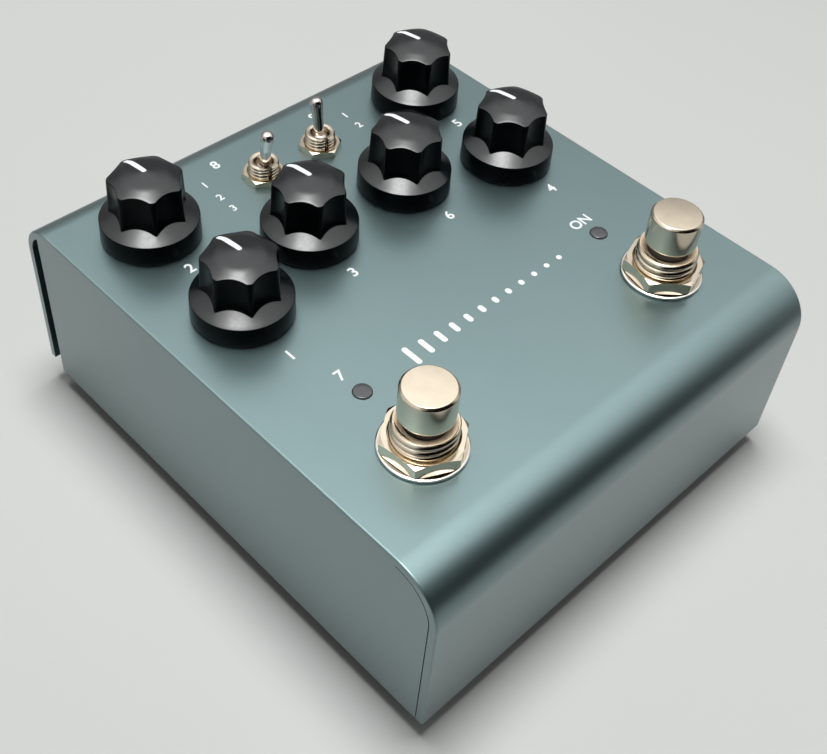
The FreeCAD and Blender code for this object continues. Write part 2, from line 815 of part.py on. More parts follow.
def knob(name):
    """A skirted knob: a turned blank with flutes cut down to the skirt, one ridge to the rear."""
    bore = "shaft_radius + knob_bore_gap"
    body = turned_body(name, [
        ("knob_recess_radius", "0"),
        ("skirt_radius", "0"),
        ("skirt_radius - skirt_draft", "skirt_height"),
        ("ridge_radius", "ridge_base_height"),
        ("ridge_top_radius", "ridge_top_height"),
        ("crown_shoulder_radius", "crown_shoulder_height"),
        ("crown_flat_radius", "crown_height"),
        ("0", "crown_height"),
        ("0", "knob_bore_depth"),
        (bore, "knob_bore_depth"),
        (bore, "knob_recess_height"),
        ("knob_recess_radius", "knob_recess_height"),
    ])
    reach = "(ridge_radius - flute_depth + flute_radius)"
    flute = sketch_on(body, name + "_flute", "XY_Plane", "ridge_base_height")
    circle(
        flute, f"{reach} * sin(180 / flute_count)", f"{reach} * cos(180 / flute_count)", "flute_radius"
    )
    groove = feature(body, "Pocket", name + "_groove", flute, Length="crown_height")
    groove.Reversed = True
    flutes = body.newObject("PartDesign::PolarPattern", name + "_flutes")
    flutes.Originals = [groove]
    flutes.Axis = (body_plane(body, "Z_Axis"), [""])
    flutes.Angle = 360
    bind(flutes, Occurrences="flute_count")
    body.Tip = flutes
    return body


def toggles():
    """Two toggle switches, the left one thrown to the front and the right one to the rear."""
    nuts = []
    y = "toggle_y"
    leans = (FreeCAD.Vector(1, 0, 0), FreeCAD.Vector(-1, 0, 0))
    for index, (x, axis) in enumerate(zip(both_sides("toggle_x"), leans), start=1):
        housing = block(
            f"toggle_case_{index}", "toggle_width", "toggle_length", "board_drop", x, y, "board_top"
        )
        thread = cylinder(
            f"toggle_thread_{index}", "toggle_thread_radius", "sheet_thickness + toggle_bushing_height",
            x, y, "panel_under"
        )
        mouth = cylinder(
            f"toggle_mouth_{index}", "toggle_mouth_radius", "toggle_bushing_height", x, y, "panel_top"
        )
        cavity = cylinder(
            f"toggle_cavity_{index}", "toggle_cavity_radius", "toggle_lip_z - toggle_floor_z",
            x, y, "toggle_floor_z"
        )
        keep(f"toggle_body_{index}", cut(
            f"toggle_body_{index}", fuse(f"toggle_blank_{index}", [housing, thread]), [mouth, cavity]
        ))
        turn = FreeCAD.Rotation(axis, number("lever_tilt"))
        stick = place(lever(index), x, y, "pivot_z", turn)
        stick.setExpression(".Placement.Rotation.Angle", formula("lever_tilt"))
        keep(f"toggle_lever_{index}", stick)
        nuts.append(hex_nut(
            f"toggle_nut_{index}", "toggle_nut_width", "toggle_nut_thickness", "toggle_thread_radius",
            x, y, "panel_top", TOGGLE_NUT_ANGLE
        ))
    keep("toggle_nuts", group("toggle_nuts", nuts))


def lever(index):
    """A toggle's lever about its ball: rod and swollen tip above, tail below."""
    shank = "lever_height - toggle_pivot_height - lever_tip_radius"
    rod = cylinder(f"lever_rod_{index}", "lever_radius", f"{shank} - lever_tip_length", "0", "0", "0")
    swell = cone(
        f"lever_swell_{index}", "lever_radius", "lever_tip_radius", "lever_tip_length",
        "0", "0", f"{shank} - lever_tip_length"
    )
    tip = ball(f"lever_tip_{index}", "lever_tip_radius", "0", "0", shank)
    pivot = ball(f"lever_ball_{index}", "lever_ball_radius", "0", "0", "0")
    tail_length = "lever_ball_radius + lever_tail_depth"
    tail = cylinder(f"lever_tail_{index}", "lever_tail_radius", tail_length, "0", "0", f"-({tail_length})")
    return fuse(f"toggle_lever_{index}", [rod, swell, tip, pivot, tail])


def footswitches():
    """Two footswitches: housing with bushing, plunger, cap, return spring, washer and nut."""
    nuts, washers = [], []
    y = "footswitch_y"
    for index, x in enumerate(both_sides("footswitch_x"), start=1):
        housing = block(
            f"footswitch_case_{index}", "footswitch_body_width", "footswitch_body_width",
            "footswitch_body_height", x, y, "footswitch_under"
        )
        thread = cylinder(
            f"footswitch_thread_{index}", "footswitch_thread_radius",
            "sheet_thickness + footswitch_bushing_height", x, y, "panel_under"
        )
        bore = cylinder(
            f"footswitch_bore_{index}", "plunger_bore_radius",
            "bushing_top - footswitch_cavity_top", x, y, "footswitch_cavity_top"
        )
        cavity = cylinder(
            f"footswitch_cavity_{index}", "footswitch_cavity_radius",
            "footswitch_cavity_top - footswitch_floor_top", x, y, "footswitch_floor_top"
        )
        dish = cone(
            f"footswitch_dish_{index}", "plunger_bore_radius", "footswitch_dish_radius",
            "footswitch_dish_depth", x, y, "bushing_top - footswitch_dish_depth"
        )
        keep(f"footswitch_body_{index}", cut(
            f"footswitch_body_{index}", fuse(f"footswitch_blank_{index}", [housing, thread]),
            [bore, cavity, dish]
        ))
        stem = cylinder(
            f"plunger_stem_{index}", "plunger_radius",
            "cap_under + plunger_cap_depth - plunger_under", x, y, "plunger_under"
        )
        flange = cylinder(
            f"plunger_flange_{index}", "plunger_flange_radius", "plunger_flange_height",
            x, y, "plunger_under"
        )
        keep(f"plunger_{index}", fuse(f"plunger_{index}", [stem, flange]))
        cap = turned_body(f"cap_{index}", [
            ("plunger_radius", "0"),
            ("cap_radius - cap_foot_chamfer", "0"),
            ("cap_radius", "cap_foot_chamfer"),
            ("cap_radius", "cap_height - cap_chamfer"),
            ("cap_radius - cap_chamfer", "cap_height"),
            ("0", "cap_height"),
            ("0", "plunger_cap_depth"),
            ("plunger_radius", "plunger_cap_depth"),
        ])
        keep(f"cap_{index}", place(cap, x, y, "cap_under"))
        keep(f"return_spring_{index}", ring(
            f"return_spring_{index}", "return_spring_radius", "return_spring_radius - return_spring_wire",
            "plunger_under - footswitch_floor_top", x, y, "footswitch_floor_top"
        ))
        washers.append(ring(
            f"footswitch_washer_{index}", "footswitch_washer_radius",
            "footswitch_thread_radius + thread_gap", "footswitch_washer_thickness", x, y, "panel_top"
        ))
        nuts.append(hex_nut(
            f"footswitch_nut_{index}", "footswitch_nut_width", "footswitch_nut_thickness",
            "footswitch_thread_radius", x, y, "panel_top + footswitch_washer_thickness",
            FOOTSWITCH_NUT_ANGLES[index - 1]
        ))
    keep("footswitch_washers", group("footswitch_washers", washers))
    keep("footswitch_nuts", group("footswitch_nuts", nuts))


def lenses():
    """Two round lenses in the panel, each with a stem down to a diode on the board."""
    heads, diodes = [], []
    y = "lens_y"
    for index, x in enumerate(both_sides("lens_x"), start=1):
        head = cylinder(
            f"lens_head_{index}", "lens_radius", "sheet_thickness + lens_rise", x, y, "panel_under"
        )
        stem = cylinder(
            f"lens_stem_{index}", "lens_stem_radius", "board_drop - diode_height",
            x, y, "board_top + diode_height"
        )
        heads.append(fuse(f"lens_{index}", [head, stem]))
        diodes.append(block(
            f"diode_{index}", "diode_size", "diode_size", "diode_height", x, y, "board_top"
        ))
    keep("status_lenses", group("status_lenses", heads))
    keep("status_diodes", group("status_diodes", diodes))


def boards():
    """The main board with its chips and capacitors, and the footswitches' board and ribbon."""
    keep("main_board", block(
        "main_board", "board_width", "board_rear_y - board_front_y",
        "board_thickness", "0", "(board_front_y + board_rear_y) / 2", "board_under"
    ))
    chips = []
    for name, width, depth, x, y in (
        ("processor", "processor_size", "processor_size", "processor_x", "processor_y"),
        ("converter", "converter_size", "converter_size", "converter_x", "processor_y"),
        ("memory", "memory_width", "memory_length", "memory_x", "processor_y"),
    ):
        chips.append(block(
            name, width, depth, "chip_height", x, y, "board_under - chip_height"
        ))
    for index in range(AMPLIFIER_COUNT):
        chips.append(block(
            f"amplifier_{index + 1}", "amplifier_width", "amplifier_length", "chip_height",
            "amplifier_x", f"amplifier_y + {index} * amplifier_pitch", "board_under - chip_height"
        ))
    keep("signal_chips", group("signal_chips", chips))
    cans = [
        cylinder(
            f"capacitor_{index + 1}", "capacitor_radius", "capacitor_height",
            f"capacitor_x + {index} * capacitor_pitch", "capacitor_y", "board_under - capacitor_height"
        )
        for index in range(CAPACITOR_COUNT)
    ]
    keep("capacitors", group("capacitors", cans))
    keep("footswitch_board", block(
        "footswitch_board", "2 * (wall_x - switch_board_gap)", "switch_board_depth", "board_thickness",
        "0", "footswitch_y", "footswitch_under - board_thickness"
    ))
    keep("ribbon_cable", ribbon())


def ribbon():
    """A flat cable that hangs in a U from the footswitches' board to the main board."""
    body = doc.addObject("PartDesign::Body", "ribbon_cable")
    section = sketch_on(body, "ribbon_section", "YZ_Plane")
    near = "ribbon_y"
    far = f"{near} + 2 * ribbon_bend_radius"
    half = "ribbon_thickness / 2"
    turn = "footswitch_under - board_thickness - ribbon_leg"
    low = f"{turn} - ribbon_bend_radius"
    outside = f"ribbon_bend_radius + {half}"
    inside = f"ribbon_bend_radius - {half}"
    middle = f"{near} + ribbon_bend_radius"
    outline(section, [
        (f"{near} - {half}", turn, outside),
        (middle, f"{low} - {half}", outside),
        (f"{far} + {half}", turn),
        (f"{far} + {half}", "board_under"),
        (f"{far} - {half}", "board_under"),
        (f"{far} - {half}", turn, inside, True),
        (middle, f"{low} + {half}", inside, True),
        (f"{near} + {half}", turn),
        (f"{near} + {half}", "footswitch_under - board_thickness"),
        (f"{near} - {half}", "footswitch_under - board_thickness"),
    ])
    swept_both_ways(feature(body, "Pad", "ribbon_strip", section, Length="ribbon_width"))
    return body


def jacks():
    """Four quarter-inch jacks on the rear face, each with a washer and a nut."""
    nuts, washers = [], []
    for name, x in jack_places():
        housing = block(
            name + "_case", "jack_width", "jack_depth", "jack_height",
            x, "rear_wall_y - jack_depth / 2", "board_under - jack_height"
        )
        thread = cylinder(
            name + "_thread", "jack_thread_radius", "sheet_thickness + jack_thread_proud",
            x, "rear_wall_y", "jack_z", REARWARD
        )
        bore = cylinder(
            name + "_bore", "jack_bore_radius", "jack_bore_depth",
            x, "rear_y + jack_thread_proud - jack_bore_depth", "jack_z", REARWARD
        )
        keep(name, cut(name, fuse(name + "_blank", [housing, thread]), [bore]))
        washers.append(ring(
            name + "_washer", "jack_washer_radius", "jack_thread_radius + thread_gap",
            "jack_washer_thickness", x, "rear_y", "jack_z", REARWARD
        ))
        nuts.append(hex_nut(
            name + "_nut", "jack_nut_width", "jack_nut_thickness", "jack_thread_radius",
            x, "rear_y + jack_washer_thickness", "jack_z", 0, REARWARD
        ))
    keep("jack_washers", group("jack_washers", washers))
    keep("jack_nuts", group("jack_nuts", nuts))


def rear_sockets():
    """The power socket, the small data socket and the slide switch on the rear face."""
    power_case = block(
        "power_case", "power_width", "power_depth", "power_height",
        "power_x", "rear_wall_y - power_depth / 2", "board_under - power_height"
    )
    nose = cylinder(
        "power_nose", "power_nose_radius", "sheet_thickness", "power_x", "rear_wall_y", "power_z", REARWARD
    )
    bore = cylinder(
        "power_bore", "power_bore_radius", "power_bore_depth",
        "power_x", "rear_y - power_bore_depth", "power_z", REARWARD
    )
    pin = cylinder(
        "power_pin", "power_pin_radius", "power_bore_depth",
        "power_x", "rear_y - power_bore_depth - sheet_thickness / 2", "power_z", REARWARD
    )
    socket = cut("power_shell", fuse("power_blank", [power_case, nose]), [bore])
    keep("power_socket", fuse("power_socket", [socket, pin]))

    keep("data_socket", data_socket())

    switch = block(
        "mode_case", "mode_width", "mode_depth", "mode_height",
        "mode_x", "mode_face_y - mode_depth / 2", "board_top"
    )
    slot = block(
        "mode_slot", "mode_slot_width", "mode_slot_depth", "mode_slot_height",
        "mode_x", "mode_face_y - mode_slot_depth / 2", "mode_z - mode_slot_height / 2"
    )
    keep("mode_switch", cut("mode_switch", switch, [slot]))
    slider_reach = "rear_y - mode_slider_recess - mode_face_y + mode_slot_depth - mode_slider_gap"
    keep("mode_slider", block(
        "mode_slider", "mode_slider_width", slider_reach, "mode_slot_height - 2 * mode_slider_gap",
        "mode_x - mode_travel / 2", f"rear_y - mode_slider_recess - ({slider_reach}) / 2",
        "mode_z - mode_slot_height / 2 + mode_slider_gap"
    ))


def data_socket():
    """A flat socket with round ends: a shell, its mouth and the tongue in the middle."""
    body = doc.addObject("PartDesign::Body", "data_socket")
    outer = sketch_on(body, "data_outer", "XZ_Plane", "-rear_y")
    round_ended(outer, "data_x", "data_z", "data_width", "data_height")
    feature(body, "Pad", "data_shell", outer, Length="data_depth")
    inner = sketch_on(body, "data_inner", "XZ_Plane", "-rear_y")
    round_ended(inner, "data_x", "data_z", "data_width - 2 * data_wall", "data_height - 2 * data_wall")
    mouth = feature(body, "Pocket", "data_mouth", inner, Length="data_depth - data_floor")
    mouth.Reversed = True
    blade = sketch_on(body, "data_blade", "XZ_Plane", "-rear_y + data_tongue_recess")
    rectangle(
        blade,
        "data_x - data_tongue_width / 2",
        "data_x + data_tongue_width / 2",
        "data_z - data_tongue_thickness / 2",
        "data_z + data_tongue_thickness / 2",
    )
    feature(body, "Pad", "data_tongue", blade, Length="data_depth - data_floor - data_tongue_recess")
    return body


def check_and_write():
    """Stops on any failed feature or bad shape, then writes one file for each sub-part."""
    sheet.clear("D1")
    doc.recompute()
    for thing in doc.Objects:
        if "Invalid" in thing.State or "Error" in thing.State:
            raise RuntimeError(f"{thing.Name} failed: {thing.State}")
    for node, thing in parts.items():
        if thing.Shape.isNull() or not thing.Shape.isValid():
            raise RuntimeError(f"{node} has no valid shape")
    os.makedirs("parts", exist_ok=True)
    for node, thing in parts.items():
        thing.Shape.exportStep(f"parts/{node}.step")
        box = thing.Shape.BoundBox
        print(f"{node}: {len(thing.Shape.Solids)} solids, {thing.Shape.Volume:.1f} mm3,"
              f" z {box.ZMin:.2f} to {box.ZMax:.2f}")


fill_sheet()
casing()
base()
pots_and_knobs()
toggles()
footswitches()
lenses()
boards()
jacks()
rear_sockets()
check_and_write()
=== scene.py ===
import json
import math

import bmesh
import bpy
import numpy as np
from mathutils import Euler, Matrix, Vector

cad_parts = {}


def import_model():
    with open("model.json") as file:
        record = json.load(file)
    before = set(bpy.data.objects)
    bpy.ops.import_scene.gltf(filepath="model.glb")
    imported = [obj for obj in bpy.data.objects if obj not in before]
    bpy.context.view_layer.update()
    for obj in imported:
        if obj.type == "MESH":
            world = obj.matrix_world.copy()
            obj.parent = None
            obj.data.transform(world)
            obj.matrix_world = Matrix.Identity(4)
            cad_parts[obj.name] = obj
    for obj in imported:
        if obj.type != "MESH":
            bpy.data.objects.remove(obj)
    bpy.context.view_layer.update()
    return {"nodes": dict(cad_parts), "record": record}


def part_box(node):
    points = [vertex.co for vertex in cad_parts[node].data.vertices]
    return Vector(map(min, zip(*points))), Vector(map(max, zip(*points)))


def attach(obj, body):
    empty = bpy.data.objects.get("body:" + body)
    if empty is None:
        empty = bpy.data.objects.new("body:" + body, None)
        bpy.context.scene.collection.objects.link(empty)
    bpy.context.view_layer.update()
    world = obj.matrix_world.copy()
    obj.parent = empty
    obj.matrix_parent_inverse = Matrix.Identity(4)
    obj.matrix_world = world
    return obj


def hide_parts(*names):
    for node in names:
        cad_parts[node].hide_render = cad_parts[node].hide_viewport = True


# The looks of a compact tape echo pedal: +X right, +Y to the rear face, +Z up. Shapes are worked
# out in millimetres and written to their meshes in metres.

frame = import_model()

MM = 0.001
AROUND = 96
SHARP = math.radians(35)
MERGE = 0.0005 * MM


def corners(node):
    """A node's lowest and highest corners, in millimetres."""
    low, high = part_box(node)
    return np.array(low) / MM, np.array(high) / MM


def centre(node):
    """The middle of a node's box, in millimetres."""
    low, high = corners(node)
    return (low + high) / 2


CASE_HIGH = corners("casing")[1]
PANEL = CASE_HIGH[2]
REAR = CASE_HIGH[1]


def rounded(points, steps=6):
    """A section line through (radius, height, rounding) points. Each inner point with a rounding
    becomes an arc that is tangent to both of its runs."""
    line = [np.array(points[0][:2], float)]
    for before, here, after in zip(points, points[1:], points[2:]):
        corner = np.array(here[:2], float)
        size = here[2]
        if not size:
            line.append(corner)
            continue
        back = np.array(before[:2]) - corner
        ahead = np.array(after[:2]) - corner
        back = back / np.linalg.norm(back)
        ahead = ahead / np.linalg.norm(ahead)
        half = math.acos(float(np.clip(back @ ahead, -1, 1))) / 2
        reach = size / math.tan(half)
        heart = corner + (back + ahead) / np.linalg.norm(back + ahead) * size / math.sin(half)
        first = corner + back * reach - heart
        last = corner + ahead * reach - heart
        for share in np.linspace(0, 1, steps):
            spoke = first * (1 - share) + last * share
            line.append(heart + spoke / np.linalg.norm(spoke) * size)
    line.append(np.array(points[-1][:2], float))
    return np.array(line)


def spokes(around=AROUND):
    """Evenly spaced angles once round."""
    return np.linspace(0, 2 * math.pi, around, endpoint=False)


def rings(radius, height, around=AROUND, at=(0, 0, 0)):
    """Rings about a vertical axis: the point at angle a is (radius cos a, radius sin a, height).
    Radius and height are arrays of rows by spokes, or columns that every spoke shares."""
    angle = spokes(around)[None, :]
    radius, height = np.broadcast_arrays(radius + 0 * angle, height + 0 * angle)
    return np.stack([
        at[0] + radius * np.cos(angle),
        at[1] + radius * np.sin(angle),
        at[2] + height,
    ], axis=-1)


def turned(line, at=(0, 0, 0), around=AROUND):
    """A section line of (radius, height) points carried once round a vertical axis."""
    return rings(line[:, :1], line[:, 1:], around, at)


def rearward(rows, at):
    """Turns rings about Z so that their axis runs along +Y from a place."""
    return np.stack([at[0] + rows[..., 0], at[1] + rows[..., 2], at[2] - rows[..., 1]], axis=-1)


def skin(rows, looped=False, seam=None):
    """Points and faces over a grid of rows and spokes. Each row closes round, or goes on as the
    row that the seam names, and a looped grid also joins its last row to its first."""
    count, around = rows.shape[:2]
    index = np.arange(count * around).reshape(count, around)
    beside = np.roll(index, -1, axis=1)
    if seam is not None:
        beside[:, -1] = index[seam, 0]
    corners = (index, beside, np.roll(beside, -1, axis=0), np.roll(index, -1, axis=0))
    faces = np.stack(corners, axis=-1)
    if not looped:
        faces = faces[:-1]
    return rows.reshape(-1, 3), faces.reshape(-1, 4).tolist()


def put(name, data):
    """A new object of the scene."""
    thing = bpy.data.objects.new(name, data)
    bpy.context.scene.collection.objects.link(thing)
    return thing


def piece(name, skins, finish, body, replaces=(), sharp=SHARP):
    """One mesh from closed skins, with doubles merged, faces outwards, and riding on a body."""
    points, faces, start = [], [], 0
    for skin_points, skin_faces in skins:
        points.append(skin_points)
        faces += [[corner + start for corner in face] for face in skin_faces]
        start += len(skin_points)
    mesh = bpy.data.meshes.new(name)
    mesh.from_pydata(np.concatenate(points) * MM, [], faces)
    work = bmesh.new()
    work.from_mesh(mesh)
    bmesh.ops.remove_doubles(work, verts=work.verts, dist=MERGE)
    bmesh.ops.recalc_face_normals(work, faces=work.faces)
    work.to_mesh(mesh)
    work.free()
    mesh.shade_smooth()
    mesh.set_sharp_from_angle(angle=sharp)
    mesh.materials.append(finish)
    thing = put(name, mesh)
    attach(thing, body)
    if replaces:
        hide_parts(*replaces)


def node_tree(name):
    """A new material with its node tree and its main shader."""
    material = bpy.data.materials.new(name)
    material.use_nodes = True
    tree = material.node_tree
    return material, tree, tree.nodes["Principled BSDF"]


def add(tree, kind, inputs=(), **settings):
    """A node with its settings, and its inputs as (name, number or socket) pairs."""
    node = tree.nodes.new(kind)
    for key, value in settings.items():
        setattr(node, key, value)
    for key, value in dict(inputs).items():
        if isinstance(value, bpy.types.NodeSocket):
            tree.links.new(value, node.inputs[key])
        else:
            node.inputs[key].default_value = value
    return node


def grain(tree, scale, detail=2):
    """Noise on Object coordinates; the scale is counts in a millimetre."""
    place = add(tree, "ShaderNodeTexCoord")
    return add(tree, "ShaderNodeTexNoise", {
        "Vector": place.outputs["Object"],
        "Scale": scale / MM,
        "Detail": detail,
        "Roughness": 0.5,
    }).outputs["Fac"]


def spread(tree, value, low, high, start=0.3, end=0.7, way="LINEAR"):
    """Maps a value from start-end to low-high."""
    return add(tree, "ShaderNodeMapRange", {
        "Value": value, "From Min": start, "From Max": end, "To Min": low, "To Max": high,
    }, interpolation_type=way).outputs["Result"]


def smooth(tree, value, low, high, start, end):
    """Maps a value from start-end to low-high with eased ends."""
    return spread(tree, value, low, high, start, end, "SMOOTHSTEP")


def maths(tree, operation, first, second):
    """One sum on two numbers or sockets."""
    return add(tree, "ShaderNodeMath", {0: first, 1: second}, operation=operation).outputs[0]


def blend(tree, share, first, second):
    """Mixes two colours by a share."""
    mix = add(tree, "ShaderNodeMix", data_type="RGBA")
    tree.links.new(share, mix.inputs["Factor"])
    mix.inputs["A"].default_value = (*first, 1)
    mix.inputs["B"].default_value = (*second, 1)
    return mix.outputs["Result"]


def surface(name, dark, light, rough, metal=0.0, cloud=0.05, bump_scale=4.0, bump=0.004, **sockets):
    """A finish whose colour drifts between two tones, whose roughness drifts between two
    numbers, and whose fine grain stands up by a bump in millimetres."""
    material, tree, shader = node_tree(name)
    drift = grain(tree, cloud, detail=3)
    tree.links.new(blend(tree, spread(tree, drift, 0, 1), dark, light), shader.inputs["Base Color"])
    texture = grain(tree, bump_scale)
    tree.links.new(spread(tree, texture, rough[0], rough[1]), shader.inputs["Roughness"])
    relief = add(tree, "ShaderNodeBump", {"Height": texture, "Distance": bump * MM, "Strength": 1.0})
    tree.links.new(relief.outputs["Normal"], shader.inputs["Normal"])
    shader.inputs["Metallic"].default_value = metal
    for key, value in sockets.items():
        shader.inputs[key.replace("_", " ")].default_value = value
    return material


ANODISED = surface(
    "satin_anodise", (0.163, 0.245, 0.25), (0.175, 0.26, 0.265), (0.35, 0.41), metal=1.0,
    cloud=0.03, bump_scale=6.0, bump=0.0012, Coat_Weight=1.0, Coat_Roughness=0.32,
)
KNOB_BLACK = surface(
    "moulded_black", (0.001, 0.002, 0.0025), (0.0015, 0.003, 0.0035), (0.2, 0.27),
    cloud=0.2, bump_scale=1.5, bump=0.001,
)


def shaded_upright_walls(material, start=0.5, end=0.85, low=0.06, high=0.65):
    """Painted shade: gives a material's upright faces a weaker gloss than its level ones, by the true
    normal, so that the walls read darker than the same moulding's level faces.
    """
    tree = material.node_tree
    normal = add(tree, "ShaderNodeNewGeometry").outputs["True Normal"]
    upright = add(tree, "ShaderNodeSeparateXYZ", {"Vector": normal}).outputs["Z"]
    gloss = smooth(tree, upright, low, high, start, end)
    tree.links.new(gloss, tree.nodes["Principled BSDF"].inputs["Specular IOR Level"])


# Painted shade: the knobs' upright walls reflect less, so they read near black beside their lit tops.
shaded_upright_walls(KNOB_BLACK)
POINTER_WHITE = surface(
    "pointer_fill", (0.74, 0.79, 0.81), (0.8, 0.84, 0.86), (0.4, 0.5), bump_scale=5.0, bump=0.002,
)
INK_WHITE = surface(
    "screen_ink", (0.76, 0.79, 0.79), (0.82, 0.84, 0.84), (0.45, 0.6), bump_scale=8.0, bump=0.002,
)
WARM_NICKEL = surface(
    "warm_nickel", (0.62, 0.54, 0.425), (0.68, 0.595, 0.475), (0.12, 0.19), metal=1.0,
    cloud=0.3, bump_scale=2.0, bump=0.0008,
)
SATIN_NICKEL = surface(
    "satin_nickel", (0.82, 0.68, 0.5), (0.92, 0.77, 0.58), (0.6, 0.7), metal=1.0,
    cloud=0.3, bump_scale=3.0, bump=0.002,
)
BRIGHT_NICKEL = surface(
    "bright_nickel", (0.74, 0.71, 0.66), (0.8, 0.77, 0.72), (0.1, 0.18), metal=1.0,
    cloud=0.3, bump_scale=2.0, bump=0.0008,
)
CHROME = surface(
    "lever_chrome", (0.56, 0.52, 0.5), (0.62, 0.58, 0.56), (0.12, 0.18), metal=1.0,
    cloud=0.4, bump_scale=2.0, bump=0.0005,
)
LENS = surface(
    "smoked_lens", (0.03, 0.034, 0.036), (0.04, 0.045, 0.048), (0.12, 0.2), bump_scale=2.0, bump=0.001,
    Coat_Weight=0.6, Coat_Roughness=0.05,
)
RUBBER = surface(
    "foot_rubber", (0.018, 0.018, 0.018), (0.03, 0.03, 0.03), (0.75, 0.9),
    cloud=0.4, bump_scale=6.0, bump=0.02,
)
HOUSING_BLACK = surface(
    "housing_black", (0.015, 0.015, 0.016), (0.025, 0.025, 0.026), (0.35, 0.5),
)
FINISHES = {
    "anodised_casing": ANODISED,
    "black_sheet": surface(
        "powder_black", (0.02, 0.021, 0.022), (0.035, 0.036, 0.037), (0.45, 0.6), bump_scale=5.0, bump=0.02,
    ),
    "zinc_steel": surface(
        "zinc_steel", (0.5, 0.5, 0.49), (0.6, 0.6, 0.58), (0.25, 0.4), metal=1.0, cloud=0.5, bump=0.002,
    ),
    "black_rubber": RUBBER,
    "nickel_plate": BRIGHT_NICKEL,
    "warm_nickel": WARM_NICKEL,
    "bright_chrome": CHROME,
    "smoked_lens": LENS,
    "white_plastic": surface(
        "white_plastic", (0.72, 0.71, 0.66), (0.8, 0.79, 0.74), (0.35, 0.45), bump_scale=3.0, bump=0.002,
    ),
    "circuit_board": surface(
        "solder_mask", (0.012, 0.09, 0.045), (0.02, 0.14, 0.07), (0.25, 0.4),
        cloud=1.2, bump_scale=3.0, bump=0.01,
    ),
    "chip_black": surface(
        "chip_epoxy", (0.02, 0.02, 0.02), (0.035, 0.035, 0.035), (0.55, 0.7), bump_scale=8.0, bump=0.005,
    ),
    "can_aluminium": surface(
        "can_aluminium", (0.68, 0.68, 0.69), (0.76, 0.76, 0.77), (0.25, 0.35), metal=1.0, bump=0.001,
    ),
    "grey_ribbon": surface(
        "ribbon_grey", (0.36, 0.36, 0.37), (0.44, 0.44, 0.45), (0.5, 0.6), bump_scale=1.0, bump=0.03,
    ),
    "black_plastic": HOUSING_BLACK,
    "black_knob": KNOB_BLACK,
}


def dress_frame():
    """Gives every carried-over node the finish of its material slot."""
    for part in frame["record"]["subparts"]:
        for place in frame["nodes"][part["node"]].material_slots:
            place.material = FINISHES[part["material_slot"]]


LEVEL_COSINE = 0.99995
TINY = 1e-18


def drawn_normals(mesh, near=SHARP):
    """One normal for each face corner of a folded sheet: a corner that touches a level face, and
    whose own face leans from it by less than an angle, takes that level face's normal, and any
    other takes the mean of the curved faces at its point, weighted by their areas."""
    triangles = np.array([face.vertices[:] for face in mesh.polygons])
    points = np.array([vertex.co[:] for vertex in mesh.vertices])
    a, b, c = (points[triangles[:, place]] for place in range(3))
    cross = np.cross(b - a, c - a)
    size = np.linalg.norm(cross, axis=1, keepdims=True)
    own = cross / np.maximum(size, TINY)
    ways = np.vstack([np.eye(3), -np.eye(3)])
    lean = own @ ways.T
    level = lean > LEVEL_COSINE
    curved = ~level.any(axis=1)
    mean = np.zeros((len(points), 3))
    touches = np.zeros((len(points), 6), bool)
    for place in range(3):
        np.add.at(mean, triangles[curved, place], cross[curved])
        np.logical_or.at(touches, triangles[:, place], level)
    mean /= np.maximum(np.linalg.norm(mean, axis=1, keepdims=True), TINY)
    corner = triangles.reshape(-1)
    own = np.repeat(own, 3, axis=0)
    lean = np.where(touches[corner], np.repeat(lean, 3, axis=0), -1)
    best = lean.argmax(axis=1)
    smooth_way = mean[corner]
    agrees = (smooth_way * own).sum(axis=1) > math.cos(near)
    normals = np.where(agrees[:, None], smooth_way, own)
    normals = np.where((lean.max(axis=1) > math.cos(near))[:, None], ways[best], normals)
    return np.where(np.repeat(~curved, 3)[:, None], own, normals)


# The slit behind each side flange. The points of its front edge are those past SLIT_INSIDE to the
# side, under SLIT_ROOF, and from SLIT_RELIEF to SLIT_DRAWN along Y. They move to SLIT_EDGE, and
# above SLIT_ARC only those in front of it do, so that the slit keeps its round end.
SLIT_INSIDE = 49.1
SLIT_ROOF = 41.9
SLIT_ARC = 39.0
SLIT_RELIEF = 48.2
SLIT_DRAWN = 49.97
SLIT_EDGE = 49.25


def casing():
    """The folded sheet, carried over with its doubled points merged, its slits straightened, and
    smooth round its bends."""
    work = bmesh.new()
    work.from_mesh(frame["nodes"]["casing"].data)
    bmesh.ops.remove_doubles(work, verts=work.verts, dist=MERGE)
    bmesh.ops.triangulate(work, faces=work.faces)
    for point in work.verts:
        z = abs(point.co.z) / MM
        in_flange = abs(point.co.x) / MM > SLIT_INSIDE and z < SLIT_ROOF
        if in_flange and SLIT_RELIEF < point.co.y / MM < SLIT_DRAWN:
            point.co.y = max(point.co.y, SLIT_EDGE * MM) if z > SLIT_ARC else SLIT_EDGE * MM
    mesh = bpy.data.meshes.new("folded_casing")
    work.to_mesh(mesh)
    work.free()
    mesh.shade_smooth()
    mesh.normals_split_custom_set(drawn_normals(mesh).tolist())
    mesh.materials.clear()
    mesh.materials.append(ANODISED)
    thing = put("folded_casing", mesh)
    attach(thing, "chassis")
    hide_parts("casing")


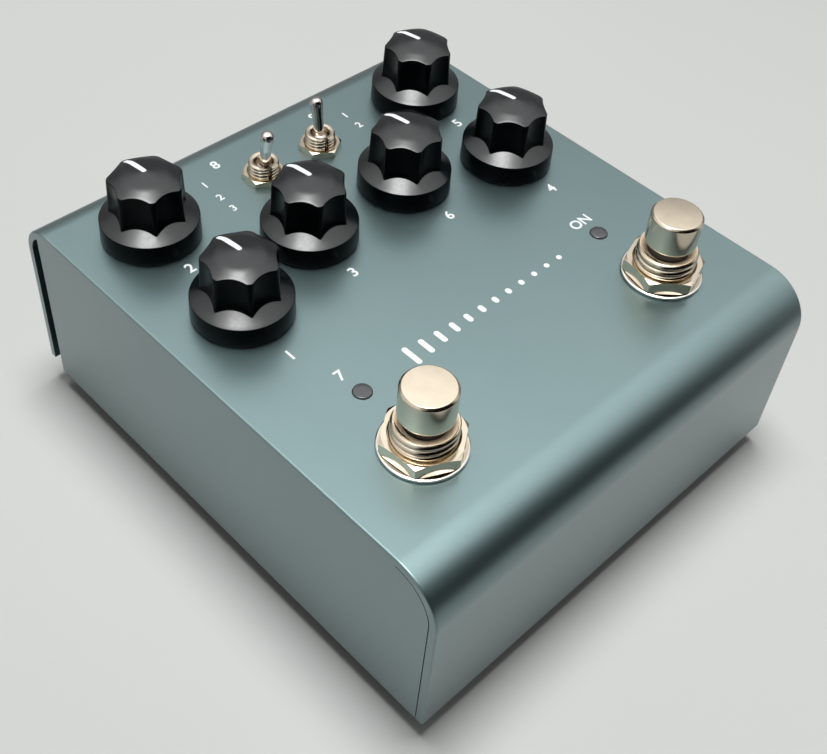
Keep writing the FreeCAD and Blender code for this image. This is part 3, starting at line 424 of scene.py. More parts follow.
# A knob's sizes, with heights from the underside of its skirt.
FLUTES = 7
SKIRT_RADIUS = 9.5
RIM_RADIUS = 9.38
RIM_HEIGHT = 4.15
RIDGE_RADIUS = 7.43
RIDGE_TOP_RADIUS = 7.09
RIDGE_FOOT = 5.3
RIDGE_TOP = 12.65
CROWN_TOP = 14.6
CROWN_BLUNT = 0.5
CROWN_SHOULDER = 4.4
CROWN_SLOPES = (0.17, 0.48)
CROWN_SOFT = 0.16
RECESS_RADIUS = 6.6
RECESS_HEIGHT = 4.5
FLUTE_RADIUS = 8.75
FLUTE_DEPTH = 1.23
RIDGE_SOFT = 0.07
SLOPE_INNER = 8.6
KNOB_ROUNDING = 0.18
KNOB_AROUND = FLUTES * 32
WALL_ROWS = 14
CROWN_ROWS = 16
POINTER_WIDTH = 1.05
POINTER_INNER = -0.2
POINTER_OUTER = 6.4
POINTER_AROUND = 64
POINTER_SHARES = (0.0, 0.35, 0.7, 0.92, 1.0, 1.0)
POINTER_LIFTS = (0.05, 0.05, 0.05, 0.045, 0.01, -0.15)


def crown(radius):
    """The crown's height: a flat cone with a rounded tip, and past a shoulder a steeper cone that
    is blended in."""
    inner = CROWN_SLOPES[0] * (np.hypot(radius, CROWN_BLUNT) - CROWN_BLUNT)
    past = CROWN_SOFT * np.logaddexp(0, (np.abs(radius) - CROWN_SHOULDER) / CROWN_SOFT)
    return CROWN_TOP - inner - (CROWN_SLOPES[1] - CROWN_SLOPES[0]) * past


def fluted(angle, height):
    """The grip's radius: the lower of its drafted round and its scallops, each scallop a circle
    whose centre lies outside the grip, with the ridge between two scallops softened."""
    pitch = 2 * math.pi / FLUTES
    off = ((angle - math.pi / 2) / pitch) % 1 - 0.5
    away = RIDGE_RADIUS - FLUTE_DEPTH + FLUTE_RADIUS
    across = away * np.sin(off * pitch)
    scallop = away * np.cos(off * pitch) - np.sqrt(FLUTE_RADIUS ** 2 - across ** 2)
    share = (height - RIDGE_FOOT) / (RIDGE_TOP - RIDGE_FOOT)
    land = RIDGE_RADIUS + (RIDGE_TOP_RADIUS - RIDGE_RADIUS) * share
    return -RIDGE_SOFT * np.logaddexp(-scallop / RIDGE_SOFT, -land / RIDGE_SOFT)


def skirt_height(radius):
    """The height of the skirt's sloping top at a radius."""
    return RIM_HEIGHT + (RIM_RADIUS - radius) * (RIDGE_FOOT - RIM_HEIGHT) / (RIM_RADIUS - RIDGE_RADIUS)


def turned_corner(before, corner, after, steps=5):
    """Rows of a rounded edge: a curve of the second degree from one point to another that
    leaves towards the corner and arrives from it."""
    share = np.linspace(0, 1, steps)[:, None]
    rest = 1 - share
    return [
        rest ** 2 * before[part] + 2 * share * rest * corner[part] + share ** 2 * after[part]
        for part in (0, 1)
    ]


def knob_rows(at):
    """A knob's rings, from the hollow underneath, round the skirt's rim, up its slope and the
    fluted grip, and over the crown to the middle."""
    angle = spokes(KNOB_AROUND)[None, :]
    foot = fluted(angle, RIDGE_FOOT)
    foot_height = skirt_height(foot)
    edge = fluted(angle, RIDGE_TOP)
    edge_height = crown(edge)
    below = rounded([
        (0, RECESS_HEIGHT, 0), (RECESS_RADIUS, RECESS_HEIGHT, 0.2), (RECESS_RADIUS, 0, 0.25),
        (SKIRT_RADIUS, 0, 0.25), (RIM_RADIUS, RIM_HEIGHT, 0.22), (SLOPE_INNER, skirt_height(SLOPE_INNER), 0),
    ])
    outside = foot + KNOB_ROUNDING
    wall_low = foot_height + KNOB_ROUNDING
    nook = turned_corner((outside, skirt_height(outside)), (foot, foot_height), (foot, wall_low))
    wall_high = edge_height - KNOB_ROUNDING
    wall_height = wall_low + (wall_high - wall_low) * np.linspace(0, 1, WALL_ROWS)[1:-1, None]
    inside = edge - KNOB_ROUNDING
    brim = turned_corner((edge, wall_high), (edge, edge_height), (inside, crown(inside)))
    top = inside * np.linspace(1, 0, CROWN_ROWS)[1:, None]
    radius = [below[:, :1] + 0 * angle, nook[0], fluted(angle, wall_height), brim[0], top]
    height = [below[:, 1:] + 0 * angle, nook[1], wall_height, brim[1], crown(top)]
    return rings(np.concatenate(radius), np.concatenate(height), KNOB_AROUND, at)


def pointer_rows(at):
    """The white line on a crown: a long outline with round ends that shrinks to its middle in
    rings, each point lifted to just above the crown. One spoke in three lies along its sides."""
    angle = spokes(POINTER_AROUND)[None, :]
    half = POINTER_WIDTH / 2
    run = (POINTER_OUTER - POINTER_INNER) / 2 - half
    middle = (POINTER_OUTER + POINTER_INNER) / 2
    share = np.array(POINTER_SHARES)[:, None]
    along = np.clip(2 * np.sin(angle), -1, 1) * run
    across = half * np.cos(angle)
    ends = half * np.sin(angle)
    x = across * share
    y = middle + (along + ends) * share
    height = crown(np.hypot(x, y)) + np.array(POINTER_LIFTS)[:, None]
    return np.stack([at[0] + x, at[1] + y, at[2] + height], axis=-1)


def knobs():
    """Six knobs, each with its white line."""
    for index in range(1, 7):
        node = f"knob_{index}"
        x, y, _ = centre(node)
        at = (x, y, corners(node)[0][2])
        body = f"knob_turn_{index}"
        piece(f"fluted_knob_{index}", [skin(knob_rows(at))], KNOB_BLACK, body, [node])
        line = pointer_rows(at)
        base = line[-1:].copy()
        base[...] = base.mean(axis=1, keepdims=True)
        closed = np.concatenate([line, base])
        piece(f"knob_pointer_{index}", [skin(closed)], POINTER_WHITE, body)


def hexagonal(angle, flat, phase, limit):
    """The reach of a hexagon from its middle, cut back to a limit at its six corners."""
    off = (angle - phase) % (math.pi / 3) - math.pi / 6
    return np.minimum(flat / 2 / np.cos(off), limit)


NUT_AROUND = 144
NUT_CHAMFER = math.radians(30)
NUT_LEAD = 0.3
NUT_FOOT_LEAD = 0.2
NUT_SHARP = math.radians(20)


def nut_rows(flat, thick, bore, phase, trim, limit, at):
    """A hexagon nut as a looped section: bore, top face, a chamfer down to the sides, the sides,
    and the same below. The faces reach out to the trim, and the corners to the limit."""
    angle = spokes(NUT_AROUND)[None, :]
    reach = hexagonal(angle, flat, phase, limit)
    drop = np.maximum(reach - trim, 0) * math.tan(NUT_CHAMFER)
    edge = np.minimum(reach, trim)
    lines = (
        (bore, thick - NUT_LEAD), (bore + NUT_LEAD, thick), (edge, thick), (reach, thick - drop),
        (reach, drop), (edge, 0), (bore + NUT_FOOT_LEAD, 0), (bore, NUT_FOOT_LEAD),
    )
    radius, height = (np.concatenate([line[part] + 0 * angle for line in lines]) for part in (0, 1))
    return rings(radius, height, NUT_AROUND, at)


def washer_rows(outer, bore, thick, at, soft=0.12):
    """A flat washer as a looped section with softened edges."""
    line = rounded([
        ((outer + bore) / 2, 0, 0), (outer, 0, soft), (outer, thick, soft), (bore, thick, soft),
        (bore, 0, soft), ((outer + bore) / 2, 0, 0),
    ], steps=4)
    return turned(line[:-1], at)


THREAD_STEPS = np.array([0.02, 0.34, 0.42, 0.5, 0.62, 0.74, 0.86, 0.95])
THREAD_SHOULDER = 0.42
THREAD_POWER = 1.8
THREAD_MARGIN = 2


def thread_rows(radius, depth, pitch, low, high, bevel, around=AROUND, groove=None):
    """A screw thread as helical rows: along a row the height climbs one pitch in a turn. Over a
    pitch the radius rises from a root along a straight flank, holds a crest, and from a shoulder
    on falls back to the next root as a quarter of a superellipse. The top is bevelled, and a groove
    takes its width out at its own angle. Gives the radii, the heights and the row that each row
    goes on as after a turn."""
    turns = int(math.ceil((high - low) / pitch)) + THREAD_MARGIN
    step = (np.arange(-THREAD_MARGIN, turns)[:, None] + THREAD_STEPS).reshape(-1, 1)
    angle = spokes(around)[None, :]
    height = np.clip(low + pitch * (step + angle / (2 * math.pi)), low, high)
    climb = ((height - low) / pitch - angle / (2 * math.pi)) % 1
    over = np.clip((climb - THREAD_SHOULDER) / (1 - THREAD_SHOULDER), 0, 1)
    rise = np.interp(climb, THREAD_STEPS[:2], [1, 0]) * (over == 0)
    fall = rise + 1 - (1 - over ** THREAD_POWER) ** (1 / THREAD_POWER)
    reach = np.minimum(radius - depth * fall, radius - np.maximum(height - (high - bevel), 0))
    if groove is not None:
        where, width, root = groove
        aside = np.abs((angle - where + math.pi) % (2 * math.pi) - math.pi) * radius
        reach = np.where(aside < width / 2, np.minimum(reach, root), reach)
    seam = np.minimum(np.arange(len(step)) + len(THREAD_STEPS), len(step) - 1)
    return reach, height, seam


def bushing_skin(thread, bore, mouth, bottom, at, turn=None):
    """A threaded bushing as a looped section: thread outside, a face on top, and a bore. The
    mouth is a line of (radius, depth under the top) from the face to the bore."""
    reach, height, seam = thread
    top = height[-1:]
    flatten = 0 * top
    radius = np.concatenate([reach, *[place + flatten for place, _ in mouth], bore + flatten])
    level = np.concatenate([height, *[top - depth for _, depth in mouth], bottom + flatten])
    rows = rings(radius, level, reach.shape[1], (0, 0, 0) if turn else at)
    if turn:
        rows = turn(rows, at)
    seam = np.concatenate([seam, np.arange(len(seam), len(rows))])
    return skin(rows, looped=True, seam=seam)


HOUSING_ROUNDING = 0.4
HOUSING_ROWS = 7
HOUSING_AROUND = 64
HOUSING_SHARP = math.radians(28)
# How far under the panel's outside a housing's top lies, and the start of a bushing's thread.
HOUSING_UNDER = 2.02
THREAD_UNDER = 2.5


def housing_skin(low, high):
    """A closed moulded box: rectangles stacked up its height, drawn in at both ends by the same
    rounding, and closed to the middle."""
    low, high = np.array(low, float), np.array(high, float)
    middle = (low + high) / 2
    half = (high - low) / 2
    tilt = np.linspace(-math.pi / 2, math.pi / 2, HOUSING_ROWS)
    ends = np.where(tilt < 0, low[2] + HOUSING_ROUNDING, high[2] - HOUSING_ROUNDING)
    turn = spokes(HOUSING_AROUND)
    square = np.maximum(np.abs(np.cos(turn)), np.abs(np.sin(turn)))
    rows = [np.broadcast_to([middle[0], middle[1], low[2]], (HOUSING_AROUND, 3))]
    for shrink, z in zip(HOUSING_ROUNDING * (1 - np.cos(tilt)), ends + HOUSING_ROUNDING * np.sin(tilt)):
        wide = half[0] - shrink
        deep = half[1] - shrink
        x = np.clip(np.cos(turn) / square * wide, -wide, wide)
        y = np.clip(np.sin(turn) / square * deep, -deep, deep)
        rows.append(np.stack([middle[0] + x, middle[1] + y, 0 * x + z], axis=-1))
    rows.append(np.broadcast_to([middle[0], middle[1], high[2]], (HOUSING_AROUND, 3)))
    return skin(np.array(rows))


# The footswitches' fittings. A section line is (radius, height, rounding) points.
FOOT_AROUND = 128
CAP_FOOT = -0.55
CAP_RADIUS = 4.95
CAP_HOLLOW = 3.81
CAP_HOLLOW_TOP = 4.0
FOOT_THREAD = {"radius": 5.85, "depth": 1.0, "pitch": 1.4, "bevel": 0.25, "around": FOOT_AROUND}
FOOT_BORE = 3.86
FOOT_BUSHING_UNDER = 3.0
FOOT_NUT = {"flat": 13.7, "thick": 2.65, "bore": 5.9, "trim": 7.2, "limit": 7.85}
FOOT_NUT_DEGREES = (35, 17)
FOOT_WASHER_TOP = 0.8
DISHED_WASHER = (
    (6.5, 0, 0), (7.55, 0, 0.1), (7.9, 0.38, 0.12), (7.9, 0.66, 0.1), (7.62, 0.8, 0.12), (6.85, 0.6, 0.3),
    (6.3, 0.8, 0.1), (5.9, 0.8, 0.1), (5.9, 0, 0.1), (6.5, 0, 0),
)
BUSHING_MOUTH = ((5.4, 0.0), (4.6, 0.4), (FOOT_BORE, 0.8))
BUSHING_RING = (
    (5.3, -0.2, 0), (5.5, -0.02, 0.1), (5.3, 0.02, 0.1), (4.7, -0.16, 0.4), (4.1, -0.42, 0.2),
    (3.88, -0.6, 0.1), (3.88, -0.8, 0), (4.6, -0.5, 0), (5.3, -0.2, 0),
)


def cap_rows(at, tall):
    """A footswitch cap: a short cylinder with small bevels, hollow underneath."""
    return turned(rounded([
        (0, CAP_HOLLOW_TOP, 0), (CAP_HOLLOW, CAP_HOLLOW_TOP, 0.1), (CAP_HOLLOW, CAP_FOOT, 0.08),
        (CAP_RADIUS - 0.8, CAP_FOOT, 0.25), (CAP_RADIUS, CAP_FOOT + 0.8, 0.6),
        (CAP_RADIUS, tall - 0.45, 0.35), (CAP_RADIUS - 0.45, tall, 0.2), (0, tall, 0),
    ]), at, FOOT_AROUND)


def footswitches():
    """Both footswitches: housing with a threaded bushing and its satin ring, dished washer,
    hexagon nut and cap."""
    washers, nuts = [], []
    for index, degrees in enumerate(FOOT_NUT_DEGREES, 1):
        x, y = centre(f"cap_{index}")[:2]
        low, high = corners(f"footswitch_body_{index}")
        thread = thread_rows(low=PANEL - THREAD_UNDER, high=high[2], **FOOT_THREAD)
        bushing = bushing_skin(thread, FOOT_BORE, BUSHING_MOUTH, PANEL - FOOT_BUSHING_UNDER, (x, y, 0))
        case = housing_skin(low, (high[0], high[1], PANEL - HOUSING_UNDER))
        piece(
            f"footswitch_housing_{index}", [bushing, case], WARM_NICKEL, "chassis",
            [f"footswitch_body_{index}"], sharp=HOUSING_SHARP,
        )
        ring = turned(rounded(BUSHING_RING, steps=4)[:-1], (x, y, high[2]), FOOT_AROUND)
        piece(f"bushing_ring_{index}", [skin(ring, looped=True)], SATIN_NICKEL, "chassis")
        cap_low, cap_high = corners(f"cap_{index}")
        cap = cap_rows((x, y, cap_low[2]), cap_high[2] - cap_low[2])
        piece(
            f"footswitch_cap_{index}", [skin(cap)],
            WARM_NICKEL, f"button_{index}", [f"cap_{index}"],
        )
        washers.append(skin(turned(rounded(DISHED_WASHER, steps=4)[:-1], (x, y, PANEL)), looped=True))
        nut = nut_rows(phase=math.radians(degrees), at=(x, y, PANEL + FOOT_WASHER_TOP), **FOOT_NUT)
        nuts.append(skin(nut, looped=True))
    piece("panel_washers", washers, BRIGHT_NICKEL, "chassis", ["footswitch_washers"])
    piece("panel_nuts", nuts, WARM_NICKEL, "chassis", ["footswitch_nuts"], sharp=NUT_SHARP)


# The toggle switches' fittings. The groove is a keyway: its angle, width and root.
TOGGLE_THREAD = {
    "radius": 3.1, "depth": 0.45, "pitch": 0.75, "bevel": 0.3, "around": 128,
    "groove": (math.radians(-104), 0.9, 2.4),
}
TOGGLE_BORE = 1.9
TOGGLE_MOUTH = ((2.3, 0.0), (2.12, 0.05), (1.97, 0.2), (TOGGLE_BORE, 0.5))
TOGGLE_BUSHING_UNDER = 1.0
TOGGLE_NUT = {
    "flat": 7.9, "thick": 1.4, "bore": 3.13, "trim": 4.05, "limit": 4.5, "phase": math.radians(30),
}
LEVER_LEANS = (8.5, -8.5)
LEVER_PIVOT = 1.5
LEVER_AROUND = 64


def lever_rows(lean, pivot):
    """A toggle lever: a section line of tail, ball, rod and swollen tip, tilted about its pivot."""
    line = rounded([
        (0, -4.65, 0), (0.9, -4.65, 0.2), (0.9, -1.85, 0), (1.6, -1.3, 0.3), (2.05, 0, 0.9), (1.6, 1.3, 0.5),
        (1.1, 1.75, 0.2), (1.1, 5.6, 0.6), (1.3, 8.6, 1.0), (1.3, 10.0, 1.05), (0, 10.0, 0),
    ])
    rows = turned(line, around=LEVER_AROUND)
    tilt = math.radians(lean)
    y = rows[..., 1] * math.cos(tilt) - rows[..., 2] * math.sin(tilt)
    z = rows[..., 1] * math.sin(tilt) + rows[..., 2] * math.cos(tilt)
    return np.stack([pivot[0] + rows[..., 0], pivot[1] + y, pivot[2] + z], axis=-1)


def toggles():
    """Both toggle switches: housing with a threaded bushing and keyway, hexagon nut and lever."""
    nuts = []
    for index, lean in enumerate(LEVER_LEANS, 1):
        low, high = corners(f"toggle_body_{index}")
        x, y = centre(f"toggle_body_{index}")[:2]
        thread = thread_rows(low=PANEL - THREAD_UNDER, high=high[2], **TOGGLE_THREAD)
        bushing = bushing_skin(thread, TOGGLE_BORE, TOGGLE_MOUTH, PANEL - TOGGLE_BUSHING_UNDER, (x, y, 0))
        case = housing_skin(low, (high[0], high[1], PANEL - HOUSING_UNDER))
        piece(
            f"toggle_housing_{index}", [bushing, case], WARM_NICKEL, "chassis",
            [f"toggle_body_{index}"], sharp=HOUSING_SHARP,
        )
        nuts.append(skin(nut_rows(at=(x, y, PANEL), **TOGGLE_NUT), looped=True))
        piece(
            f"toggle_stick_{index}", [skin(lever_rows(lean, (x, y, PANEL + LEVER_PIVOT)))],
            CHROME, f"toggle_{index}", [f"toggle_lever_{index}"],
        )
    piece("lever_nuts", nuts, WARM_NICKEL, "chassis", ["toggle_nuts"], sharp=NUT_SHARP)


LENS_RADIUS = 1.8
LENS_STEM = 1.4
LENS_UNDER = 2.0
LENS_AROUND = 64


def lenses():
    """Two round lenses with a low dome, on their stems."""
    low, high = corners("status_lenses")
    y = (low[1] + high[1]) / 2
    line = rounded([
        (0, low[2], 0), (LENS_STEM, low[2], 0.1), (LENS_STEM, PANEL - LENS_UNDER, 0),
        (LENS_RADIUS, PANEL - LENS_UNDER, 0), (LENS_RADIUS, high[2] - 0.08, 0.3),
        (0.9, high[2], 1.0), (0, high[2], 0),
    ])
    domes = [
        skin(turned(line, (x, y, 0), LENS_AROUND))
        for x in (low[0] + LENS_RADIUS, high[0] - LENS_RADIUS)
    ]
    piece("status_domes", domes, LENS, "chassis", ["status_lenses"])


FOOT_PAD_RADIUS = 5.5
FOOT_PAD = (
    (0, 0.35, 0), (2.6, 0.35, 1.0), (3.3, 0, 0.4), (4.7, 0, 0.5), (FOOT_PAD_RADIUS, 3.3, 0.3),
    (5.4, 3.4, 0), (0, 3.4, 0),
)
FOOT_PAD_AROUND = 64


def feet():
    """Four round rubber feet with a soft edge and a shallow dimple underneath."""
    low, high = corners("rubber_feet")
    pads = [
        skin(turned(rounded(FOOT_PAD), (x, y, low[2]), FOOT_PAD_AROUND))
        for x in (low[0] + FOOT_PAD_RADIUS, high[0] - FOOT_PAD_RADIUS)
        for y in (low[1] + FOOT_PAD_RADIUS, high[1] - FOOT_PAD_RADIUS)
    ]
    piece("foot_pads", pads, RUBBER, "chassis", ["rubber_feet"])


# The jacks' fittings. Their depths are counted from the rear face's outside.
JACKS = ("expression_jack", "right_output_jack", "left_output_jack", "input_jack")
JACK_THREAD = {"radius": 4.5, "depth": 0.4, "pitch": 0.8, "bevel": 0.35}
JACK_BORE = 3.25
JACK_BORE_END = 2.0
JACK_MOUTH = ((3.65, 0.0), (JACK_BORE, 0.4))
JACK_NOSE_START = -2.2
JACK_CHAMFER = 0.3
JACK_WASHER = {"outer": 6.6, "bore": 4.55, "thick": 0.8}
JACK_NUT = {"flat": 12.0, "thick": 2.2, "bore": 4.53, "phase": 0, "trim": 5.75, "limit": 6.6}


def rear_jacks():
    """Four quarter-inch jacks: housing, threaded nose with its bore, washer and nut."""
    washers, nuts = [], []
    for name in JACKS:
        low, high = corners(name)
        middle = centre(name)
        at = (middle[0], REAR, middle[2])
        thread = thread_rows(low=JACK_NOSE_START, high=high[1] - REAR, **JACK_THREAD)
        nose = bushing_skin(thread, JACK_BORE, JACK_MOUTH, JACK_NOSE_START, at, rearward)
        case = jack_case((high[0] - low[0]) / 2, low[1] - REAR, at)
        piece(f"{name}_moulding", [nose, case], HOUSING_BLACK, "chassis", [name])
        washers.append(skin(rearward(washer_rows(at=(0, 0, 0), **JACK_WASHER), at), looped=True))
        nut = nut_rows(at=(0, 0, JACK_WASHER["thick"]), **JACK_NUT)
        nuts.append(skin(rearward(nut, at), looped=True))
    piece("jack_rings", washers, BRIGHT_NICKEL, "chassis", ["jack_washers"])
    piece("jack_collars", nuts, BRIGHT_NICKEL, "chassis", ["jack_nuts"], sharp=NUT_SHARP)


def jack_case(half, front, at):
    """A jack's housing: a square block whose section is carried from its outside, over its
    rear face and down its bore to a closed end."""
    angle = spokes()[None, :]
    outer = half / np.maximum(np.abs(np.cos(angle)), np.abs(np.sin(angle)))
    rear = -HOUSING_UNDER
    inner = outer - JACK_CHAMFER
    lines = (
        (0, front), (inner, front), (outer, front + JACK_CHAMFER), (outer, rear - JACK_CHAMFER),
        (inner, rear), (JACK_BORE, rear), (JACK_BORE, front + JACK_BORE_END), (0, front + JACK_BORE_END),
    )
    radius, level = (np.concatenate([line[part] + 0 * angle for line in lines]) for part in (0, 1))
    return skin(rearward(rings(radius, level), at))


# The print: each figure's place on the panel and its height.
INK_LIFT = 0.03
INK_BOLDER = 0.018
DIGIT_SIZE = 2.45
SMALL_DIGIT_SIZE = 1.85
FIGURES = (
    ("1", -35.42, -6.46, DIGIT_SIZE), ("2", -35.16, 22.24, DIGIT_SIZE), ("3", -12.84, 2.04, DIGIT_SIZE),
    ("4", 34.88, -5.58, DIGIT_SIZE), ("5", 35.73, 22.09, DIGIT_SIZE), ("6", 12.72, 1.92, DIGIT_SIZE),
    ("7", -32.02, -15.67, DIGIT_SIZE), ("ON", 31.33, -16.37, DIGIT_SIZE),
    ("8", -12.95, 43.29, DIGIT_SIZE), ("9", 13.14, 43.05, DIGIT_SIZE),
    ("1", -18.4, 39.52, SMALL_DIGIT_SIZE), ("2", -18.39, 34.7, SMALL_DIGIT_SIZE),
    ("3", -18.38, 30.55, SMALL_DIGIT_SIZE),
    ("1", 18.84, 39.29, SMALL_DIGIT_SIZE), ("2", 18.86, 34.94, SMALL_DIGIT_SIZE),
)
# A row of upright bars that die away like an echo.
BARS = 12
BAR_LEFT = -19.4
BAR_PITCH = 3.6
BAR_LEVEL = -20.45
BAR_WIDTH = 1.15
BAR_START = 3.9
BAR_END = 0.9
BAR_DECAY = 0.76
BAR_AROUND = 48


def figures(text, x, y, tall):
    """Points and faces of plain figures that stand on the panel, centred on a place."""
    curve = bpy.data.curves.new("figures", "FONT")
    curve.body = text
    curve.extrude = 0.01
    curve.offset = INK_BOLDER
    curve.resolution_u = 6
    writing = put("figures", curve)
    bpy.context.view_layer.update()
    solved = writing.evaluated_get(bpy.context.evaluated_depsgraph_get())
    mesh = bpy.data.meshes.new_from_object(solved)
    points = np.zeros(len(mesh.vertices) * 3)
    mesh.vertices.foreach_get("co", points)
    points = points.reshape(-1, 3)
    faces = [list(face.vertices) for face in mesh.polygons]
    bpy.data.objects.remove(writing)
    low, high = points.min(axis=0), points.max(axis=0)
    size = tall / (high[1] - low[1])
    flat = (points[:, :2] - (low[:2] + high[:2]) / 2) * size + (x, y)
    lift = np.where(points[:, 2:] > 0, PANEL + INK_LIFT, PANEL - INK_LIFT)
    return np.hstack([flat, lift]), faces


def bar(x, y, wide, tall):
    """A flat upright bar with round ends: its outline is a stadium, fanned to its middle."""
    angle = spokes(BAR_AROUND)[None, :]
    half = wide / 2
    run = max(tall / 2 - half, 0)
    across = half * np.cos(angle)
    along = half * np.sin(angle) + np.sign(np.sin(angle) + 1e-9) * run
    share = np.array([0.0, 1.0, 1.0, 0.0])[:, None]
    level = PANEL + INK_LIFT * np.array([-1, -1, 1, 1])[:, None]
    return skin(np.stack([x + across * share, y + along * share, level + 0 * angle], axis=-1))


def panel_print():
    """White figures beside the controls, and a row of bars that dies away like an echo."""
    marks = [figures(text, x, y, tall) for text, x, y, tall in FIGURES]
    for index in range(BARS):
        tall = BAR_END + BAR_START * BAR_DECAY ** index
        marks.append(bar(BAR_LEFT + BAR_PITCH * index, BAR_LEVEL, BAR_WIDTH, tall))
    piece("panel_figures", marks, INK_WHITE, "chassis", sharp=math.radians(30))


# The photograph's camera: its place in millimetres, its angles, and its framing.
CAMERA_PLACE = (-128.68, -117.23, 200.31)
CAMERA_ANGLES = (43.4186, -4.0278, -44.4307)
CAMERA_LENS = 52.9717
CAMERA_SHIFT = (-0.00277, -0.03678)
CAMERA_SENSOR = 36
CAMERA_NEAR = 0.005


def camera():
    """The camera, at the photograph's viewing angle."""
    data = bpy.data.cameras.new("camera")
    data.lens = CAMERA_LENS
    data.sensor_width = CAMERA_SENSOR
    data.sensor_fit = "HORIZONTAL"
    data.shift_x, data.shift_y = CAMERA_SHIFT
    data.clip_start = CAMERA_NEAR
    eye = put("camera", data)
    eye.location = np.array(CAMERA_PLACE) * MM
    eye.rotation_euler = Euler([math.radians(angle) for angle in CAMERA_ANGLES], "XYZ")
    bpy.context.scene.camera = eye


# The studio, in metres. Levels are radiances. An edge is two cosines to its way: the first has the
# low level and the second the full one. The floor turns into the backdrop between the distances of
# its fade, and reflections lose the share of it that its dim says.
LAMP_PLACE = (0.02, 0.04, 0.85)
LAMP_AIM = (0, 0, 0.03)
LAMP_SIDE = 0.32
LAMP_LEVEL = 24.5
BACKDROP = (0.66, 0.67, 0.655, 1)
ROOM_LEVEL = 0.18
TENT_DARK = 0.005
TENT_LEVELS = ((0.0, 0.46), (0.35, 0.74), (0.6, 0.95), (0.74, 1.4), (0.85, 1.7))
TENT_CAMERA_WAY = (-0.174, -0.985, 0.0)
TENT_CAMERA_EDGE = (0.67, 0.45)
TENT_REAR_WAY = (-0.45, -0.55, 0.70)
TENT_REAR_EDGE = (-0.25, 0.06)
TENT_REAR_LOW = 0.42
TENT_TOP_WAY = (-0.214, -0.08, 0.974)
TENT_HALO_EDGE = (0.85, 0.985)
TENT_HALO_LEVEL = 3.0
TENT_SPOT_EDGE = (0.966, 0.992)
TENT_SPOT_LEVEL = 10.0
TENT_LENS_WAY = (-0.5, -0.45, 0.74)
TENT_LENS_EDGE = (0.985, 0.89)
TENT_LENS_LOW = 0.3
TENT_NEAR = 0.2
TENT_FAR = 1.5
TENT_FAR_SLOPE = math.radians(30)
TENT_ROWS = 25
TENT_AROUND = 64
FLOOR_HALF = 2.5
FLOOR_FADE = (0.3, 0.65)
FLOOR_DIM = 0.2


def lamp():
    """A soft square lamp over the set, aimed at the pedal, that reflections don't show."""
    data = bpy.data.lights.new("overhead", "AREA")
    data.shape = "RECTANGLE"
    data.size = data.size_y = LAMP_SIDE
    data.energy = LAMP_LEVEL * LAMP_SIDE * LAMP_SIDE * math.pi
    thing = put("overhead", data)
    thing.location = LAMP_PLACE
    x, y, z = np.array(LAMP_AIM) - np.array(LAMP_PLACE)
    thing.rotation_euler = Euler((math.atan2(math.hypot(x, y), -z), 0, math.atan2(-x, y)), "XYZ")
    thing.visible_glossy = False


def world():
    """A pale room: the camera and all reflections see its backdrop, and the rest is lit evenly."""
    sky = bpy.data.worlds.new("studio")
    bpy.context.scene.world = sky
    sky.use_nodes = True
    tree = sky.node_tree
    tree.nodes.clear()
    room = add(tree, "ShaderNodeBackground", {"Color": (1, 1, 1, 1), "Strength": ROOM_LEVEL})
    pale = add(tree, "ShaderNodeBackground", {"Color": BACKDROP, "Strength": 1.0})
    rays = add(tree, "ShaderNodeLightPath").outputs
    seen = maths(tree, "MAXIMUM", rays["Is Camera Ray"], rays["Is Glossy Ray"])
    seen = maths(tree, "MAXIMUM", seen, rays["Is Transmission Ray"])
    mix = add(tree, "ShaderNodeMixShader", {"Fac": seen, 1: room.outputs[0], 2: pale.outputs[0]})
    out = add(tree, "ShaderNodeOutputWorld")
    tree.links.new(mix.outputs[0], out.inputs["Surface"])


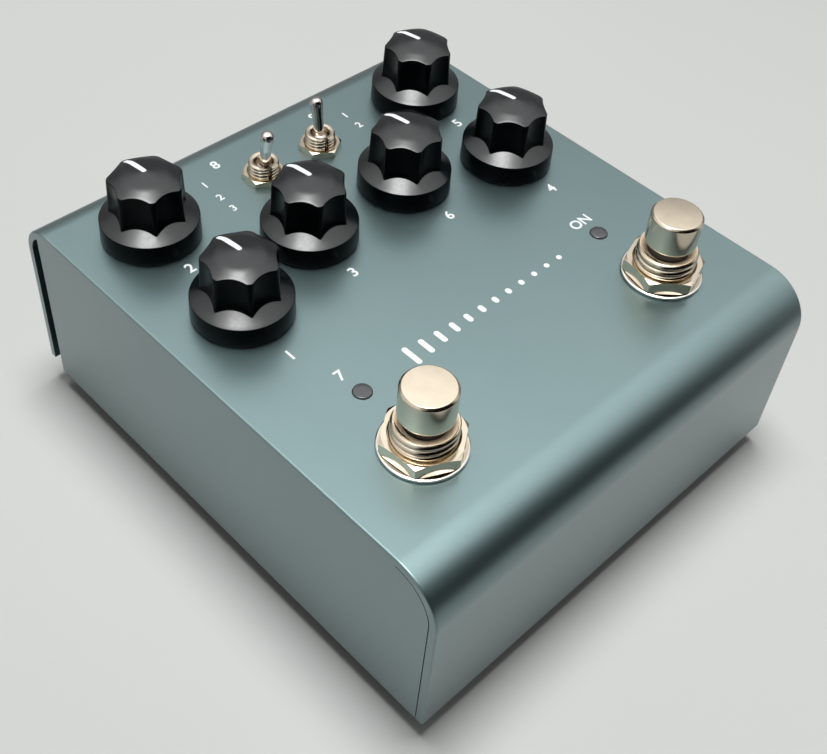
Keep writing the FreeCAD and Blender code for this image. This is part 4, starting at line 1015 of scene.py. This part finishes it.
def tent():
    """A tent round the set for reflections alone: brighter with height, dark on the front side,
    dimmer at the rear right and in a patch that the lenses show, and with a halo and a spot
    overhead. Its skin's reach grows with the slope up from the floor, from near to far."""
    material = bpy.data.materials.new("tent_cloth")
    material.use_nodes = True
    material.cycles.emission_sampling = "NONE"
    tree = material.node_tree
    tree.nodes.clear()
    place = add(tree, "ShaderNodeTexCoord").outputs["Object"]
    way = add(tree, "ShaderNodeVectorMath", {0: place}, operation="NORMALIZE").outputs["Vector"]
    height = add(tree, "ShaderNodeSeparateXYZ", {"Vector": way}).outputs["Z"]
    camera_side, rear_side, overhead, lens_side = (
        add(tree, "ShaderNodeVectorMath", {0: way, 1: aim}, operation="DOT_PRODUCT").outputs["Value"]
        for aim in (TENT_CAMERA_WAY, TENT_REAR_WAY, TENT_TOP_WAY, TENT_LENS_WAY)
    )
    ramp = add(tree, "ShaderNodeValToRGB", {"Fac": height})
    steps = ramp.color_ramp.elements
    for place, (position, level) in enumerate(TENT_LEVELS):
        step = steps[place] if place in (0, 1) else steps.new(position)
        step.position = position
        step.color = (level, level, level, 1)
    bright = ramp.outputs["Color"]
    for operation, level in (
        ("MULTIPLY", smooth(tree, camera_side, 0, 1, *TENT_CAMERA_EDGE)),
        ("MULTIPLY", smooth(tree, rear_side, TENT_REAR_LOW, 1, *TENT_REAR_EDGE)),
        ("ADD", TENT_DARK),
        ("ADD", smooth(tree, overhead, 0, TENT_HALO_LEVEL, *TENT_HALO_EDGE)),
        ("ADD", smooth(tree, overhead, 0, TENT_SPOT_LEVEL, *TENT_SPOT_EDGE)),
        ("MULTIPLY", smooth(tree, lens_side, TENT_LENS_LOW, 1, *TENT_LENS_EDGE)),
    ):
        bright = maths(tree, operation, bright, level)
    glow = add(tree, "ShaderNodeEmission", {"Strength": bright})
    out = add(tree, "ShaderNodeOutputMaterial")
    tree.links.new(glow.outputs[0], out.inputs["Surface"])

    slope = np.linspace(0, math.pi / 2, TENT_ROWS)[:, None]
    share = np.clip(slope / TENT_FAR_SLOPE, 0, 1)
    reach = TENT_NEAR + (TENT_FAR - TENT_NEAR) * share * share * (3 - 2 * share)
    points, faces = skin(rings(reach * np.cos(slope), reach * np.sin(slope), TENT_AROUND))
    mesh = bpy.data.meshes.new("tent")
    mesh.from_pydata(points, [], faces)
    mesh.shade_smooth()
    mesh.materials.append(material)
    thing = put("tent", mesh)
    thing.visible_camera = False
    thing.visible_diffuse = False
    thing.visible_transmission = False
    thing.visible_shadow = False


def floor():
    """A wide pale floor, which the camera sees turn into the backdrop far from the pedal and
    which reflections show a little darker."""
    material = surface(
        "pale_floor", (0.55, 0.56, 0.545), (0.57, 0.58, 0.565), (0.6, 0.7),
        cloud=0.004, bump_scale=0.5, bump=0.002, Specular_IOR_Level=0.0,
    )
    material.cycles.emission_sampling = "NONE"
    tree = material.node_tree
    place = add(tree, "ShaderNodeTexCoord").outputs["Object"]
    away = add(tree, "ShaderNodeVectorMath", {0: place}, operation="LENGTH").outputs["Value"]
    rays = add(tree, "ShaderNodeLightPath").outputs
    far = maths(tree, "MULTIPLY", rays["Is Camera Ray"], smooth(tree, away, 0, 1, *FLOOR_FADE))
    dim = maths(tree, "MULTIPLY", rays["Is Glossy Ray"], FLOOR_DIM)
    pale = add(tree, "ShaderNodeEmission", {"Color": BACKDROP})
    black = add(tree, "ShaderNodeEmission", {"Strength": 0})
    plain = tree.nodes["Principled BSDF"].outputs["BSDF"]
    near = add(tree, "ShaderNodeMixShader", {"Fac": dim, 1: plain, 2: black.outputs[0]}).outputs[0]
    mix = add(tree, "ShaderNodeMixShader", {"Fac": far, 1: near, 2: pale.outputs[0]})
    tree.links.new(mix.outputs[0], tree.nodes["Material Output"].inputs["Surface"])

    half = FLOOR_HALF
    mesh = bpy.data.meshes.new("floor")
    points = [(-half, -half, 0), (half, -half, 0), (half, half, 0), (-half, half, 0)]
    mesh.from_pydata(points, [], [(0, 1, 2, 3)])
    mesh.materials.append(material)
    put("floor", mesh)


dress_frame()
casing()
knobs()
footswitches()
toggles()
lenses()
feet()
rear_jacks()
panel_print()
camera()
world()
tent()
floor()
lamp()

bpy.context.scene.view_settings.view_transform = "Standard"
